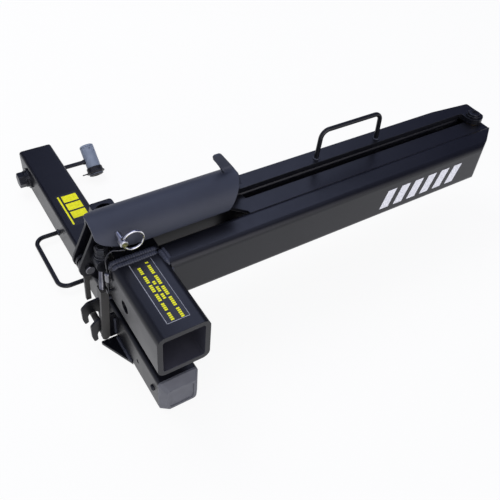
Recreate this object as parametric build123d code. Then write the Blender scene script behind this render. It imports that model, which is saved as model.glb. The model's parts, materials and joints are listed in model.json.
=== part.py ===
from build123d import *
import math
import os

# Swing away hitch adapter: a stinger that plugs into the vehicle's receiver, a fixed beam across it, and a
# swinging beam that carries its own receiver and turns about a vertical bolt at the far end.
# Sizes are in millimetres. X runs along the beams away from the latch, Y runs towards the vehicle, Z is up.
# The origin is the centre of the swinging receiver's opening, at its front face.

# Standard hitch tube sizes
receiver_outer = 63.5
receiver_wall = 6.35
receiver_bore = receiver_outer - 2 * receiver_wall
receiver_corner = 6.0
receiver_depth = 120.0
back_plate_t = 6.35
receiver_pin_r = 8.15
receiver_pin_y = 82.0
stinger_size = 50.8
stinger_wall = 6.35
stinger_corner = 4.5
stinger_front_y = 17.0
stinger_end_y = 505.0
stinger_drop = 38.15

# End cap of the stinger, and the snap button that holds it
cap_front_y = 5.0
cap_bevel_side = 6.4
cap_bevel_top = 8.0
cap_lip = 2.5
cap_panel_inset = 3.5
cap_panel_depth = 1.2
cap_plug_depth = 8.0
cap_plug_wall = 3.0
cap_plug_fit = 0.25
button_y = 30.6
button_d = 8.0
button_stand = 3.0
button_flange = 1.2
button_round = 2.2
button_gap = 0.3
dimple_y = 72.4
dimple_d = 6.0
leaf_t = 1.2
leaf_w = 10.0
leaf_margin = 1.0

# Swinging beam
beam_depth = 38.1
beam_height = 63.5
beam_wall = 4.76
beam_corner = 9.5
beam_lap = 29.5
beam_chamfer_start_x = 539.0
beam_chamfer_mid_x = 554.0
beam_chamfer_mid_in = 8.5
beam_end_in = 31.0
end_plate = 3.0

# Pivot
pivot_x = 574.0
pivot_behind_beam = 20.4
pivot_bolt_d = 12.7
pivot_fit = 0.05
pivot_sleeve_d = 25.4
bush_d = 16.0
bush_flange_d = 24.0
bush_flange = 1.1
bush_length = 16.0
swing_nose_r = 13.5
ear_nose_r = 14.4
washer_t = 2.5
washer_d = 22.0
hex_af = 19.05
hex_h = 8.0
hex_face_share = 0.97
bolt_thread_end = 3.0

# Straps that join the swinging beam to the pivot, and the straps on the fixed beam
swing_strap_t = 4.5
swing_strap_below = 1.25
strap_past_pivot = 1.5
strap_step_x = 166.4
strap_tab_past_pivot = 11.0
strap_front_corner_x = 157.0
strap_cut_x = 141.0
strap_cut_in = 5.0
fixed_past_pivot = 11.4
fixed_depth = 25.4
fixed_wall = 3.2
fixed_corner = 5.0
fixed_left_x = -22.0
fixed_right_x = 556.0
fixed_strap_t = 8.0
fixed_strap_round = 12.0
running_gap = 0.25
riser_wall = 5.0
brace_w = 29.0
brace_t = 4.0
brace_top_z = 37.0
brace_reach = 36.2
brace_slope_run = 40.0
brace_toe = 10.0

# Latch: lever pivot P, draw link joint D and cross pin Q, seen along Y as (X, Z)
lever_pivot = (-45.0, 7.0)
link_joint = (-33.7, 24.0)
cross_pin = (-41.5, -103.0)
link_behind = 11.65
cheek_t = 3.5
cheek_behind_link = 11.0
cheek_inside = 16.0
ear_t = 4.0
ear_gap = 2.5
lever_pin_d = 8.0
pin_fit = 0.05
stem_d = 10.0
pivot_lobe_r = 12.0
joint_lobe_r = 8.5
ear_lobe_r = 10.5
pin_head_r = 5.8
pin_head_stand = 4.0
pin_head_gap = 0.3

# Lever handle, a half round of sheet
handle_r = 30.0
handle_t = 3.0
handle_behind_cheek = 6.0
handle_z = 46.0
handle_left_x = -41.5
handle_right_x = 158.0

# Draw link
bolt_d = 8.0
link_hex_af = 17.0
link_hex_h = 8.5
link_washer_d = 19.0
link_washer_t = 2.0
trunnion_r = 9.0
trunnion_flat = 8.5
trunnion_gap = 3.15
bar_w = 10.0
bar_t = 5.0
bar_gap = 4.15
bar_top = -44.0
block_w = 10.0
block_h = 16.0
bolt_end = 2.0
cross_pin_d = 8.5
cross_pin_stand = 3.5

# Keeper hooks on the stinger's left face
hook_t = 3.5
hook_gap = 2.0
hook_inside = 28.0
throat_left_x = -50.0
throat_right_x = -35.0
throat_top_z = -94.5
hook_top_z = -74.0
hook_tip_z = -113.5
foot_side_gap = 1.5
foot_t = 4.0
foot_gap = 0.5
gusset_length = 50.2
gusset_tip = 3.0
gusset_gap = 0.7
gusset_t = 4.0
gusset_x = -47.0

# Detent pin with its ring and lanyard
detent = (-14.0, 63.0)
detent_d = 6.35
detent_stand = 38.0
detent_head_d = 10.0
ring_r = 12.5
ring_wire = 3.0
ring_drop = 10.0
cable_d = 2.0
cable_route = [(-11.5, 1.4, 48.7), (-19.5, 2.4, 50.5), (-27.0, 2.6, 53.5), (-33.0, 2.2, 50.0),
               (-36.0, 1.3, 42.5), (-35.3, 1.0, 32.0), (-35.3, 1.0, 21.0)]
ferrule_length = 13.0
ferrule_radii = (2.4, 3.2)
post_z = -6.0
post_d = 3.0
post_head_d = 5.2
post_head_t = 1.3
loop_half = 2.9
loop_shoulder = 5.0

# The ear that the detent pin locks to
lock_ear_behind = 15.65
lock_ear_t = 4.0
lock_slot_play = 0.6
latch_plate_t = 5.0
latch_plate_edge = 1.0

# Hitch bolt and its lock
hitch_bolt_y = 468.0
hitch_bolt_d = 15.9
hitch_hex_af = 23.8
hitch_hex_h = 10.2
hitch_washer_t = 3.0
hitch_lock_washer_t = 4.0
hitch_washer_d = 32.0
hitch_lock_washer_d = 26.0
hitch_shoulder = 3.0
hitch_nut_w = 25.0
hitch_nut_t = 12.0
hitch_neck_d = 8.0
hitch_neck_end_x = 83.0
lock_x = 77.0
lock_d = 19.6
lock_length = 49.0
lock_tilt = 40.9
lock_core_d = 12.0
lock_core_depth = 18.0
keyway = (7.5, 1.6)
keyway_depth = 8.0
dust_cap_wall = 1.6
dust_cap_reach = 11.0
dust_cap_end = 2.5
dust_cap_lip = 1.5
dust_cap_lip_t = 2.2

# Wire loops
wire_d = 6.35
loop_y = (240.0, 346.0)
loop_out_x = -61.0
loop_z = -110.0
loop_bend = 14.0
carry_x = (290.0, 396.0)
carry_lean = 2.5
carry_in = 8.6
carry_top_z = 83.0
carry_bend = 12.0

# Places that follow from the sizes above
receiver_half = receiver_outer / 2
back_plate_y = receiver_depth + back_plate_t
beam_front_y = receiver_depth - beam_lap
beam_rear_y = beam_front_y + beam_depth
pivot_y = beam_rear_y + pivot_behind_beam
strap_rear_y = pivot_y + strap_past_pivot
strap_tab_rear_y = pivot_y + strap_tab_past_pivot
fixed_front_y = pivot_y + fixed_past_pivot
beam_top = beam_height / 2
strap_top = beam_top - swing_strap_below
fixed_half = beam_top + running_gap
fixed_top = fixed_half + fixed_strap_t
fixed_rear_y = fixed_front_y + fixed_depth
brace_back_y = fixed_rear_y + brace_reach
brace_foot_y = brace_back_y + brace_slope_run
carry_y = fixed_front_y + carry_in
stinger_half = stinger_size / 2
stinger_top = -receiver_half - stinger_drop
stinger_z = stinger_top - stinger_half
stinger_bottom = stinger_top - stinger_size
link_y = back_plate_y + link_behind
trunnion_front_y = back_plate_y + trunnion_gap
bar_front_y = back_plate_y + bar_gap
cheek_front_y = link_y + cheek_behind_link
cheek_rear_y = cheek_front_y + cheek_t + cheek_inside
ear_front_y = cheek_front_y + cheek_t + ear_gap
ear_rear_y = cheek_rear_y - ear_gap - ear_t
handle_y = cheek_front_y + handle_behind_cheek
hook_front_y = bar_front_y + bar_t + hook_gap
hook_rear_y = hook_front_y + hook_t + hook_inside
cross_pin_end_y = hook_rear_y + hook_t + cross_pin_stand
foot_y = cheek_rear_y + cheek_t + foot_side_gap
detent_head_y = handle_y - detent_stand
lock_ear_y = back_plate_y + lock_ear_behind
web_left_x = -30.0
web_t = 5.0
web_right_x = web_left_x + web_t
link_tilt = math.degrees(math.atan2(link_joint[0] - cross_pin[0], link_joint[1] - cross_pin[1]))
link_length = math.hypot(link_joint[0] - cross_pin[0], link_joint[1] - cross_pin[1])
pin_throw_r = math.hypot(detent[0] - lever_pivot[0], detent[1] - lever_pivot[1])
ear_right_x = pivot_x + ear_nose_r
cable_points = [(x, detent_head_y + y, z) for x, y, z in cable_route]
ferrule_x, ferrule_y, ferrule_top = cable_points[-1]
ferrule_low = ferrule_top - ferrule_length


def along_y(x, y, z):
    """A plane across Y: sketches drawn on it extrude towards the vehicle."""
    return Plane(origin=(x, y, z), x_dir=(1, 0, 0), z_dir=(0, 1, 0))


def along_x(x, y, z):
    """A plane across X: sketches drawn on it extrude along the beams."""
    return Plane(origin=(x, y, z), x_dir=(0, 1, 0), z_dir=(1, 0, 0))


def outline(points, radii):
    """A closed face through the points, each corner rounded by its own radius."""
    return make_face(FilletPolyline(*points, radius=radii, close=True))


def plate_across_y(points, radii, y, thickness):
    """A flat plate whose outline is given as (X, Z), from y towards the vehicle."""
    face = outline(points, radii)
    plane = Plane(origin=(0, y + thickness, 0), x_dir=(1, 0, 0), z_dir=(0, -1, 0))
    return extrude(plane * face, thickness)


def plate_across_z(points, radii, z, thickness):
    """A flat plate whose outline is given as (X, Y), from z upwards."""
    return extrude(Plane.XY.offset(z) * outline(points, radii), thickness)


def plate_across_x(points, radii, x, thickness):
    """A flat plate whose outline is given as (Y, Z), from x along the beams."""
    return extrude(along_x(x, 0, 0) * outline(points, radii), thickness)


def block(low, high):
    """A plain block from its lowest to its highest corner."""
    size = [b - a for a, b in zip(low, high)]
    middle = [(a + b) / 2 for a, b in zip(low, high)]
    return Pos(*middle) * Box(*size)


def rod_y(x, z, radius, y0, y1):
    """A round bar along Y."""
    return extrude(along_y(x, y0, z) * Circle(radius), y1 - y0)


def rod_x(y, z, radius, x0, x1):
    """A round bar along X."""
    return extrude(along_x(x0, y, z) * Circle(radius), x1 - x0)


def rod_z(x, y, radius, z0, z1):
    """A round bar along Z."""
    return extrude(Plane(origin=(x, y, z0)) * Circle(radius), z1 - z0)


def hex_z(x, y, across_flats, z0, z1):
    """A hexagon head standing along Z, the corners of its upper face turned off at 30 degrees."""
    flat = across_flats / 2
    height = z1 - z0
    body = extrude(Plane(origin=(x, y, z0)) * RegularPolygon(flat, 6, major_radius=False), height)
    face_r = hex_face_share * flat
    turned = Cone(face_r + height / math.tan(math.radians(30)), face_r, height,
                  align=(Align.CENTER, Align.CENTER, Align.MIN))
    return body & Pos(x, y, z0) * turned


def tube_section(width, height, wall, corner):
    """A rectangular tube's section, with the bend radius of the outside at its corners."""
    inner_corner = max(corner - wall, 1.5)
    return RectangleRounded(width, height, corner) - RectangleRounded(
        width - 2 * wall, height - 2 * wall, inner_corner)


def bent_wire(points, diameter, bends):
    """A round wire through the points, with a bend radius at each inner corner."""
    path = FilletPolyline(*points, radius=bends)
    start = Plane(origin=path @ 0, z_dir=path % 0)
    return sweep(start * Circle(diameter / 2), path=path)


# Stinger and what is fixed to it


def stinger_tube():
    """The shank: square tube with the holes for the hitch bolt and for the end cap's snap button."""
    plane = along_y(0, stinger_front_y, stinger_z)
    body = extrude(plane * tube_section(stinger_size, stinger_size, stinger_wall, stinger_corner),
                   stinger_end_y - stinger_front_y)
    body -= rod_x(hitch_bolt_y, stinger_z, hitch_bolt_d / 2 + pin_fit, -stinger_size, stinger_size)
    for y, radius in ((button_y, button_d / 2 + pin_fit), (dimple_y, dimple_d / 2 + pin_fit)):
        body -= rod_x(y, stinger_z, radius, -stinger_size, 0)
    rear = body.faces().sort_by(Axis.Y)[-1]
    return chamfer(rear.outer_wire().edges(), 1.0)


def end_cap():
    """The moulded plug in the stinger's front end: bevelled face, shallow panel, hollow spigot."""
    front_w = stinger_size - 2 * cap_bevel_side
    front_h = stinger_size - cap_bevel_side - cap_bevel_top
    front_z = stinger_z + (cap_bevel_side - cap_bevel_top) / 2
    back = along_y(0, stinger_front_y - cap_lip, stinger_z) * RectangleRounded(
        stinger_size, stinger_size, stinger_corner)
    front = along_y(0, cap_front_y, front_z) * RectangleRounded(front_w, front_h, stinger_corner)
    body = loft([front, back])
    body += extrude(back, cap_lip)
    panel = along_y(0, cap_front_y, front_z) * RectangleRounded(
        front_w - 2 * cap_panel_inset, front_h - 2 * cap_panel_inset, cap_panel_inset)
    body -= extrude(panel, cap_panel_depth)
    plug = stinger_size - 2 * stinger_wall - 2 * cap_plug_fit
    hollow = plug - 2 * cap_plug_wall
    hollow_y = (cap_front_y + stinger_front_y) / 2
    body += extrude(along_y(0, stinger_front_y, stinger_z) * RectangleRounded(plug, plug, 2.0), cap_plug_depth)
    inside = along_y(0, hollow_y, stinger_z) * RectangleRounded(hollow, hollow, 1.0)
    return body - extrude(inside, stinger_front_y + cap_plug_depth - hollow_y)


def snap_button():
    """The round button that holds the cap, with a domed nose and a flange behind the tube's wall."""
    wall_in = -stinger_half + stinger_wall
    seat_x = wall_in + button_gap
    nose = rod_x(button_y, stinger_z, button_d / 2, -stinger_half - button_stand, seat_x)
    nose = fillet(nose.faces().sort_by(Axis.X)[0].edges(), button_round)
    return nose + rod_x(button_y, stinger_z, button_d / 2 + button_flange, seat_x, seat_x + button_flange)


def button_spring():
    """The flat spring leaf that carries the button, located by a dimple in the second hole."""
    x0 = -stinger_half + stinger_wall + button_gap + button_flange
    leaf = block((x0, button_y - button_d / 2, stinger_z - leaf_w / 2),
                 (x0 + leaf_t, dimple_y + leaf_w / 2, stinger_z + leaf_w / 2))
    dimple = rod_x(dimple_y, stinger_z, dimple_d / 2, -stinger_half + leaf_margin, x0)
    return leaf + dimple


def riser():
    """The short length of tube that lifts the fixed beam off the stinger."""
    height = -fixed_top - stinger_top
    plane = along_y(0, fixed_front_y, stinger_top + height / 2)
    return extrude(plane * tube_section(stinger_size, height, riser_wall, riser_wall), fixed_depth)


def fixed_beam():
    """The rear tube, which stops short of the pivot so that the swinging beam's end can pass."""
    plane = along_x(fixed_left_x, fixed_front_y + fixed_depth / 2, 0)
    section = tube_section(fixed_depth, 2 * fixed_half, fixed_wall, fixed_corner)
    return extrude(plane * section, fixed_right_x - fixed_left_x)


def fixed_strap(z):
    """A flat bar along the fixed beam that ends in an ear over the pivot."""
    bar = plate_across_z([(fixed_left_x, fixed_front_y), (ear_right_x, fixed_front_y),
                          (ear_right_x, fixed_rear_y), (fixed_left_x, fixed_rear_y)], [0, 0, fixed_strap_round, 0],
                         z, fixed_strap_t)
    ear = rod_z(pivot_x, pivot_y, ear_nose_r, z, z + fixed_strap_t)
    ear += block((pivot_x - ear_nose_r, pivot_y, z), (ear_right_x, fixed_front_y, z + fixed_strap_t))
    strap = bar + ear
    return strap - rod_z(pivot_x, pivot_y, pivot_bolt_d / 2 + pivot_fit, z, z + fixed_strap_t)


def rear_brace():
    """The folded gusset behind the fixed beam: a channel that runs down onto the stinger."""
    side = [(fixed_rear_y, brace_top_z), (brace_back_y, brace_top_z), (brace_foot_y, stinger_top + brace_toe),
            (brace_foot_y, stinger_top), (fixed_rear_y, stinger_top)]
    body = plate_across_x(side, [0, 5, 3, 0, 0], -brace_w / 2, brace_w)
    inner_y = brace_foot_y - brace_t
    hollow = [(fixed_rear_y, brace_top_z - brace_t), (brace_back_y - brace_t / 2, brace_top_z - brace_t),
              (inner_y, stinger_top + brace_toe - 1), (inner_y, stinger_top), (fixed_rear_y, stinger_top)]
    return body - plate_across_x(hollow, [0, 2, 0, 0, 0], -brace_w / 2 + brace_t, brace_w - 2 * brace_t)


def keeper_hook(y):
    """A plate hook on the stinger's side: the link's cross pin pulls up into its throat."""
    face_x = -stinger_half
    throat_r = (throat_right_x - throat_left_x) / 2
    points = [(face_x, hook_top_z), (throat_left_x + 1.5, hook_top_z - 1.5), (throat_left_x - 7.2, hook_top_z - 9.5),
              (throat_left_x - 7.0, hook_tip_z + 9), (throat_left_x - 4.6, hook_tip_z),
              (throat_left_x + 0.2, hook_tip_z + 3), (throat_left_x, throat_top_z),
              (throat_right_x, throat_top_z), (throat_right_x, stinger_bottom + 5), (face_x, stinger_bottom + 5)]
    radii = [0, 7, 6, 6, 2.2, 1.5, throat_r * 0.95, throat_r * 0.95, 2, 0]
    return plate_across_y(points, radii, y, hook_t)


def hook_gusset():
    """The triangular plate that ties the hooks' feet to the stinger's lower edge."""
    face_x = -stinger_half
    rear = hook_front_y - gusset_gap
    return plate_across_z([(face_x, hook_front_y - gusset_length), (gusset_x, hook_front_y - gusset_tip),
                           (gusset_x, rear), (face_x, rear)], [0, 1.0, 1.0, 0], stinger_bottom, gusset_t)


def side_loop():
    """The bent wire on the stinger's left side, for a safety strap."""
    face_x = -stinger_half
    points = [(face_x, loop_y[0], loop_z), (loop_out_x, loop_y[0], loop_z),
              (loop_out_x, loop_y[1], loop_z), (face_x, loop_y[1], loop_z)]
    return bent_wire(points, wire_d, [loop_bend, loop_bend])


def carry_handle():
    """The bent wire grip on top of the fixed beam, its legs leaning a little inwards."""
    slope = carry_lean / (carry_top_z - fixed_top)
    foot_z = fixed_top - wire_d
    spread = slope * wire_d
    points = [(carry_x[0] - spread, carry_y, foot_z), (carry_x[0] + carry_lean, carry_y, carry_top_z),
              (carry_x[1] - carry_lean, carry_y, carry_top_z), (carry_x[1] + spread, carry_y, foot_z)]
    below = block((carry_x[0] - 2 * wire_d, carry_y - 2 * wire_d, foot_z - wire_d),
                  (carry_x[1] + 2 * wire_d, carry_y + 2 * wire_d, fixed_top))
    return bent_wire(points, wire_d, [carry_bend, carry_bend]) - below


def pivot_bolt():
    """The vertical bolt that the beam swings on, with a turned hexagon head."""
    shank = rod_z(pivot_x, pivot_y, pivot_bolt_d / 2, -fixed_top - washer_t - hex_h - bolt_thread_end,
                  fixed_top + washer_t)
    return shank + hex_z(pivot_x, pivot_y, hex_af, fixed_top + washer_t, fixed_top + washer_t + hex_h)


def pivot_washers():
    """One washer under the bolt head and one over the nut."""
    ring = Circle(washer_d / 2) - Circle(pivot_bolt_d / 2 + pivot_fit)
    return [extrude(Plane(origin=(pivot_x, pivot_y, z)) * ring, washer_t)
            for z in (fixed_top, -fixed_top - washer_t)]


def pivot_nut():
    """The nut below the lower ear."""
    low = -fixed_top - washer_t - hex_h
    nut = extrude(Plane(origin=(pivot_x, pivot_y, low)) * RegularPolygon(hex_af / 2, 6, major_radius=False), hex_h)
    nut = chamfer(nut.faces().sort_by(Axis.Z)[0].edges(), 0.8)
    return nut - rod_z(pivot_x, pivot_y, pivot_bolt_d / 2 + pivot_fit, low, low + hex_h)


def hitch_bolt():
    """The anti rattle bolt across the stinger, with a thin neck on the right for the lock."""
    head_x = -stinger_half - hitch_washer_t - hitch_lock_washer_t
    hexagon = RegularPolygon(hitch_hex_af / 2, 6, major_radius=False)
    head = extrude(along_x(head_x - hitch_hex_h, hitch_bolt_y, stinger_z) * hexagon, hitch_hex_h)
    head = chamfer(head.faces().sort_by(Axis.X)[0].edges(), 1.4)
    shoulder_x = stinger_half + hitch_shoulder
    shank = rod_x(hitch_bolt_y, stinger_z, hitch_bolt_d / 2, head_x, shoulder_x)
    neck = rod_x(hitch_bolt_y, stinger_z, hitch_neck_d / 2, shoulder_x, hitch_neck_end_x)
    return head + shank + chamfer(neck.faces().sort_by(Axis.X)[-1].edges(), 1.0)


def hitch_washers():
    """The flat washer on the tube and the split washer under the head."""
    x = -stinger_half - hitch_washer_t
    hole = Circle(hitch_bolt_d / 2 + pin_fit)
    flat = extrude(along_x(x, hitch_bolt_y, stinger_z) * (Circle(hitch_washer_d / 2) - hole), hitch_washer_t)
    split_x = x - hitch_lock_washer_t
    split_ring = Circle(hitch_lock_washer_d / 2) - hole
    split = extrude(along_x(split_x, hitch_bolt_y, stinger_z) * split_ring, hitch_lock_washer_t)
    split -= block((split_x, hitch_bolt_y - 1.0, stinger_z),
                   (x, hitch_bolt_y + 1.0, stinger_z + hitch_lock_washer_d))
    return [flat, split]


def hitch_nut():
    """The square nut welded inside the stinger's right wall."""
    x1 = stinger_half - stinger_wall
    square = RectangleRounded(hitch_nut_w, hitch_nut_w, 2.0) - Circle(hitch_bolt_d / 2 + pin_fit)
    return extrude(along_x(x1 - hitch_nut_t, hitch_bolt_y, stinger_z) * square, hitch_nut_t)


# Swinging arm


def receiver_tube():
    """The receiver that takes the rack's shank, with its cross pin hole."""
    section = tube_section(receiver_outer, receiver_outer, receiver_wall, receiver_corner)
    body = extrude(along_y(0, 0, 0) * section, receiver_depth)
    body -= rod_x(receiver_pin_y, 0, receiver_pin_r, -receiver_outer, receiver_outer)
    return body


def back_plate():
    """The plate that closes the receiver and carries the latch."""
    x1 = receiver_half
    return plate_across_y([(web_left_x, -receiver_half), (x1, -receiver_half), (x1, receiver_half),
                           (web_left_x, receiver_half)], [3, 3, 3, 3], receiver_depth, back_plate_t)


def beam_plan(inset):
    """The swinging beam's plan, its slanting end moved back by the inset."""
    low, high = beam_front_y - 20, beam_rear_y + 20
    end_x = pivot_x + 10.0 - inset
    shift_x = inset * 0.45
    return Polyline((receiver_half, low), (beam_chamfer_start_x - shift_x - 20, low),
                    (beam_chamfer_start_x - shift_x, beam_front_y),
                    (beam_chamfer_mid_x - shift_x, beam_front_y + beam_chamfer_mid_in + inset * 0.8),
                    (end_x, beam_front_y + beam_end_in + inset * 0.5), (end_x, high), (receiver_half, high), close=True)


def beam_block(width, height, corner, inset):
    """The beam's outside or inside as a solid block, cut to the slanting end."""
    plane = along_x(receiver_half, beam_front_y + beam_depth / 2, 0)
    body = extrude(plane * RectangleRounded(width, height, corner), 600)
    plan = Plane.XY.offset(-beam_height) * make_face(beam_plan(inset))
    return body & extrude(plan, 2 * beam_height)


def beam_inside(inset):
    """The hollow of the swinging beam."""
    return beam_block(beam_depth - 2 * beam_wall, beam_height - 2 * beam_wall, beam_corner - beam_wall, inset)


def swing_beam():
    """The long tube between the receiver and the pivot."""
    return beam_block(beam_depth, beam_height, beam_corner, 0.0) - beam_inside(0.0)


def swing_beam_end():
    """The plate that closes the beam's slanting end."""
    return beam_inside(0.0) - beam_inside(end_plate)


def swing_strap(z):
    """The plate behind the swinging beam: a step at the latch end, a round nose at the pivot."""
    nose_x = pivot_x + swing_nose_r
    points = [(strap_front_corner_x, beam_rear_y - 8), (beam_chamfer_mid_x, beam_rear_y - 8),
              (nose_x, beam_rear_y - 8), (nose_x, strap_rear_y), (strap_step_x, strap_rear_y),
              (strap_step_x, strap_tab_rear_y), (strap_cut_x, strap_tab_rear_y),
              (strap_cut_x, pivot_y - strap_cut_in), (strap_front_corner_x, beam_rear_y)]
    plate = plate_across_z(points, [0, 0, 0, 0, 3, 2, 2, 3, 0], z, swing_strap_t)
    plate -= block((pivot_x, beam_rear_y - 10, z), (nose_x + 1, strap_rear_y + 1, z + swing_strap_t))
    plate += block((pivot_x, beam_rear_y - 8, z), (pivot_x + 10.0, pivot_y - 9, z + swing_strap_t))
    plate += rod_z(pivot_x, pivot_y, swing_nose_r, z, z + swing_strap_t)
    plate -= beam_block(beam_depth, beam_height, beam_corner, 0.0)
    plate -= block((0, beam_front_y - 5, z), (pivot_x + 40, beam_rear_y - 9.0, z + swing_strap_t))
    plate -= rod_z(pivot_x, pivot_y, bush_d / 2, z, z + swing_strap_t)
    return max(plate.solids(), key=lambda s: s.volume)


def pivot_sleeve():
    """The tube between the swinging straps that the bushes press into."""
    ring = Circle(pivot_sleeve_d / 2) - Circle(bush_d / 2)
    low = -strap_top + swing_strap_t
    sleeve = extrude(Plane(origin=(pivot_x, pivot_y, low)) * ring, -2 * low)
    return sleeve - beam_block(beam_depth, beam_height, beam_corner, 0.0)


def pivot_bushes():
    """A flanged bush from each end of the sleeve."""
    bore = pivot_bolt_d / 2 + pivot_fit
    bushes = []
    for side in (1, -1):
        seat = side * strap_top
        body = rod_z(pivot_x, pivot_y, bush_d / 2, min(seat, seat - side * bush_length),
                     max(seat, seat - side * bush_length))
        flange = rod_z(pivot_x, pivot_y, bush_flange_d / 2, min(seat, seat + side * bush_flange),
                       max(seat, seat + side * bush_flange))
        bushes.append(body + flange - rod_z(pivot_x, pivot_y, bore, -40, 40))
    return bushes


def latch_plate():
    """The shelf behind the receiver that the lock ear stands on."""
    rear = lock_ear_y + lock_ear_t + latch_plate_edge
    return plate_across_z([(-20.0, back_plate_y), (receiver_half, back_plate_y), (receiver_half, rear),
                           (-20.0, rear)], [0, 0, 6, 3], strap_top - latch_plate_t, latch_plate_t)


def lock_ear():
    """The keeper for the detent pin. Its notch follows the pin's arc about the lever's pivot."""
    top = handle_z + math.sqrt((handle_r - handle_t) ** 2 - (handle_y - lock_ear_y) ** 2) - 0.6
    ear = plate_across_y([(-17.5, strap_top), (-1.0, strap_top), (-1.0, 58.0), (-7.0, top), (-17.5, top)],
                         [0, 0, 4, 3, 0], lock_ear_y, lock_ear_t)
    slot = detent_d + lock_slot_play
    start = math.degrees(math.atan2(detent[1] - lever_pivot[1], detent[0] - lever_pivot[0]))
    band = rod_y(*lever_pivot, pin_throw_r + slot / 2, lock_ear_y, lock_ear_y + lock_ear_t)
    band -= rod_y(*lever_pivot, pin_throw_r - slot / 2, lock_ear_y, lock_ear_y + lock_ear_t)
    reach = 2 * pin_throw_r
    wedge = [lever_pivot] + [(lever_pivot[0] + reach * math.cos(math.radians(start + a)),
                              lever_pivot[1] + reach * math.sin(math.radians(start + a))) for a in (0, 30)]
    band &= plate_across_y(wedge, [0, 0, 0], lock_ear_y, lock_ear_t)
    seat = rod_y(*detent, slot / 2, lock_ear_y, lock_ear_y + lock_ear_t)
    return ear - band - seat


def latch_web():
    """The side plate of the latch bracket, in line with the receiver's left wall."""
    return plate_across_x([(back_plate_y, -31.0), (foot_y, -31.0), (foot_y, 0.0), (back_plate_y, 0.0)],
                          [0, 0, 0, 0], web_left_x, web_t)


def latch_ear(y):
    """A bracket ear that holds the lever's pivot pin."""
    lobe = rod_y(*lever_pivot, ear_lobe_r, y, y + ear_t)
    arm = plate_across_y([(lever_pivot[0] - 6, lever_pivot[1] - 8.6), (web_left_x, -30.0), (web_left_x, -1.0),
                          (lever_pivot[0] + ear_lobe_r, lever_pivot[1])], [0, 0, 0, 0], y, ear_t)
    return lobe + arm - rod_y(*lever_pivot, lever_pin_d / 2, y, y + ear_t)


def latch_foot():
    """The leg that reaches down to the rear hook."""
    low = hook_top_z + foot_gap
    return plate_across_y([(web_right_x, 0.0), (-40.0, 0.0), (-51.5, -7.0), (-46.0, -34.0), (-47.0, low),
                           (-40.5, low), (-40.0, -37.0), (web_right_x, -31.0)],
                          [0, 4, 4, 8, 1, 1, 6, 0], foot_y, foot_t)


def lever_pin():
    """The pin that the lever turns on, with a round head in front."""
    seat = cheek_front_y - pin_head_gap
    head = rod_y(*lever_pivot, pin_head_r, cheek_front_y - pin_head_stand, seat)
    head = fillet(head.faces().sort_by(Axis.Y)[0].edges(), 1.0)
    return head + rod_y(*lever_pivot, lever_pin_d / 2, seat, cheek_rear_y + cheek_t + pin_head_gap)


# Lever


def handle_side_cut():
    """What the side view takes off the handle: the rounded lower corner at the latch end."""
    return plate_across_y([(-60, 0), (-8, 0), (-8, handle_z), (-20, 52.0), (-33.0, 60.5), (-39.5, 66.5),
                           (handle_left_x, 74.0), (-60, 74.0)], [0, 0, 8, 14, 10, 6, 0, 0],
                          handle_y - 55, 45)


def lever_handle():
    """The half round grip of bent sheet, cut round at its ends."""
    ring = Circle(handle_r) - Circle(handle_r - handle_t)
    ring &= Pos(0, handle_r) * Rectangle(3 * handle_r, 2 * handle_r)
    front = handle_y - handle_r
    body = extrude(along_x(handle_left_x, handle_y, handle_z) * ring, handle_right_x - handle_left_x)
    body -= handle_side_cut()
    end = plate_across_z([(122.0, front - 7.0), (134.5, front + 5.5), (149.0, front + 15.0), (155.0, front + 27.0),
                          (156.5, front + 37.0), (157.5, front + 65.0), (200.0, front + 65.0), (200.0, front - 7.0)],
                         [6, 20, 20, 12, 10, 0, 0, 0], handle_z - 5, 2 * handle_r)
    body = body - end - finger_tab()
    return body - rod_y(*detent, detent_d / 2 + pin_fit, front - 15, handle_y)


def lever_cheek(y):
    """A side plate of the lever: lobes at the pivot and the link joint, its top under the grip."""
    roof = handle_z + handle_r
    body = plate_across_y([(-55.6, 14.0), (-50, 0), (-37, 0), (-33.5, 8), (-26.5, 20), (-24.0, 40.0),
                           (-8.0, 50.0), (-8.0, roof), (-36.5, roof), (-36.5, 55.0)],
                          [2, 6, 6, 3, 6, 8, 6, 0, 0, 10], y, cheek_t)
    inside = rod_x(handle_y, handle_z, handle_r - handle_t, -80, 20)
    below = block((-80, y - 1, -20), (20, y + cheek_t + 1, handle_z))
    body &= inside + below
    body += rod_y(*lever_pivot, pivot_lobe_r, y, y + cheek_t)
    body += rod_y(*link_joint, joint_lobe_r, y, y + cheek_t)
    body -= rod_y(*lever_pivot, lever_pin_d / 2 + pin_fit, y, y + cheek_t)
    body -= rod_y(*link_joint, stem_d / 2 + pin_fit, y, y + cheek_t)
    return body - rod_y(*detent, detent_d / 2 + pin_fit, y, cheek_front_y + cheek_t)


def finger_tab():
    """The lip at the handle's free end that a finger lifts, set through a slot in the grip."""
    return plate_across_y([(157.0, 44.5), (166.6, 44.5), (160.5, 66.0), (137.5, 98.5), (125.5, 102.5),
                           (124.5, 95.5), (136.5, 77.0), (150.0, 62.0)], [1, 2, 10, 4, 3, 2, 6, 4],
                          handle_y + 8.0, 4.0)


# Draw link, modelled upright about its joint and then tilted into place


def link_place():
    """Where the link's own frame sits: its joint at the origin and the bolt along Z."""
    return Location((link_joint[0], link_y, link_joint[1]), (0, link_tilt, 0))


def trunnion():
    """The cross shaft that the draw bolt passes through, with a flat for the washer."""
    front = trunnion_front_y - link_y
    back = cheek_front_y - 0.7 - link_y
    body = rod_y(0, 0, trunnion_r, front, back)
    body -= block((-20, front - 1, trunnion_flat), (20, back + 1, 20))
    body = body + rod_y(0, 0, stem_d / 2, back, cheek_rear_y + cheek_t + 1.2 - link_y)
    return link_place() * (body - rod_z(0, 0, bolt_d / 2 + pin_fit, -20, 20))


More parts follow.
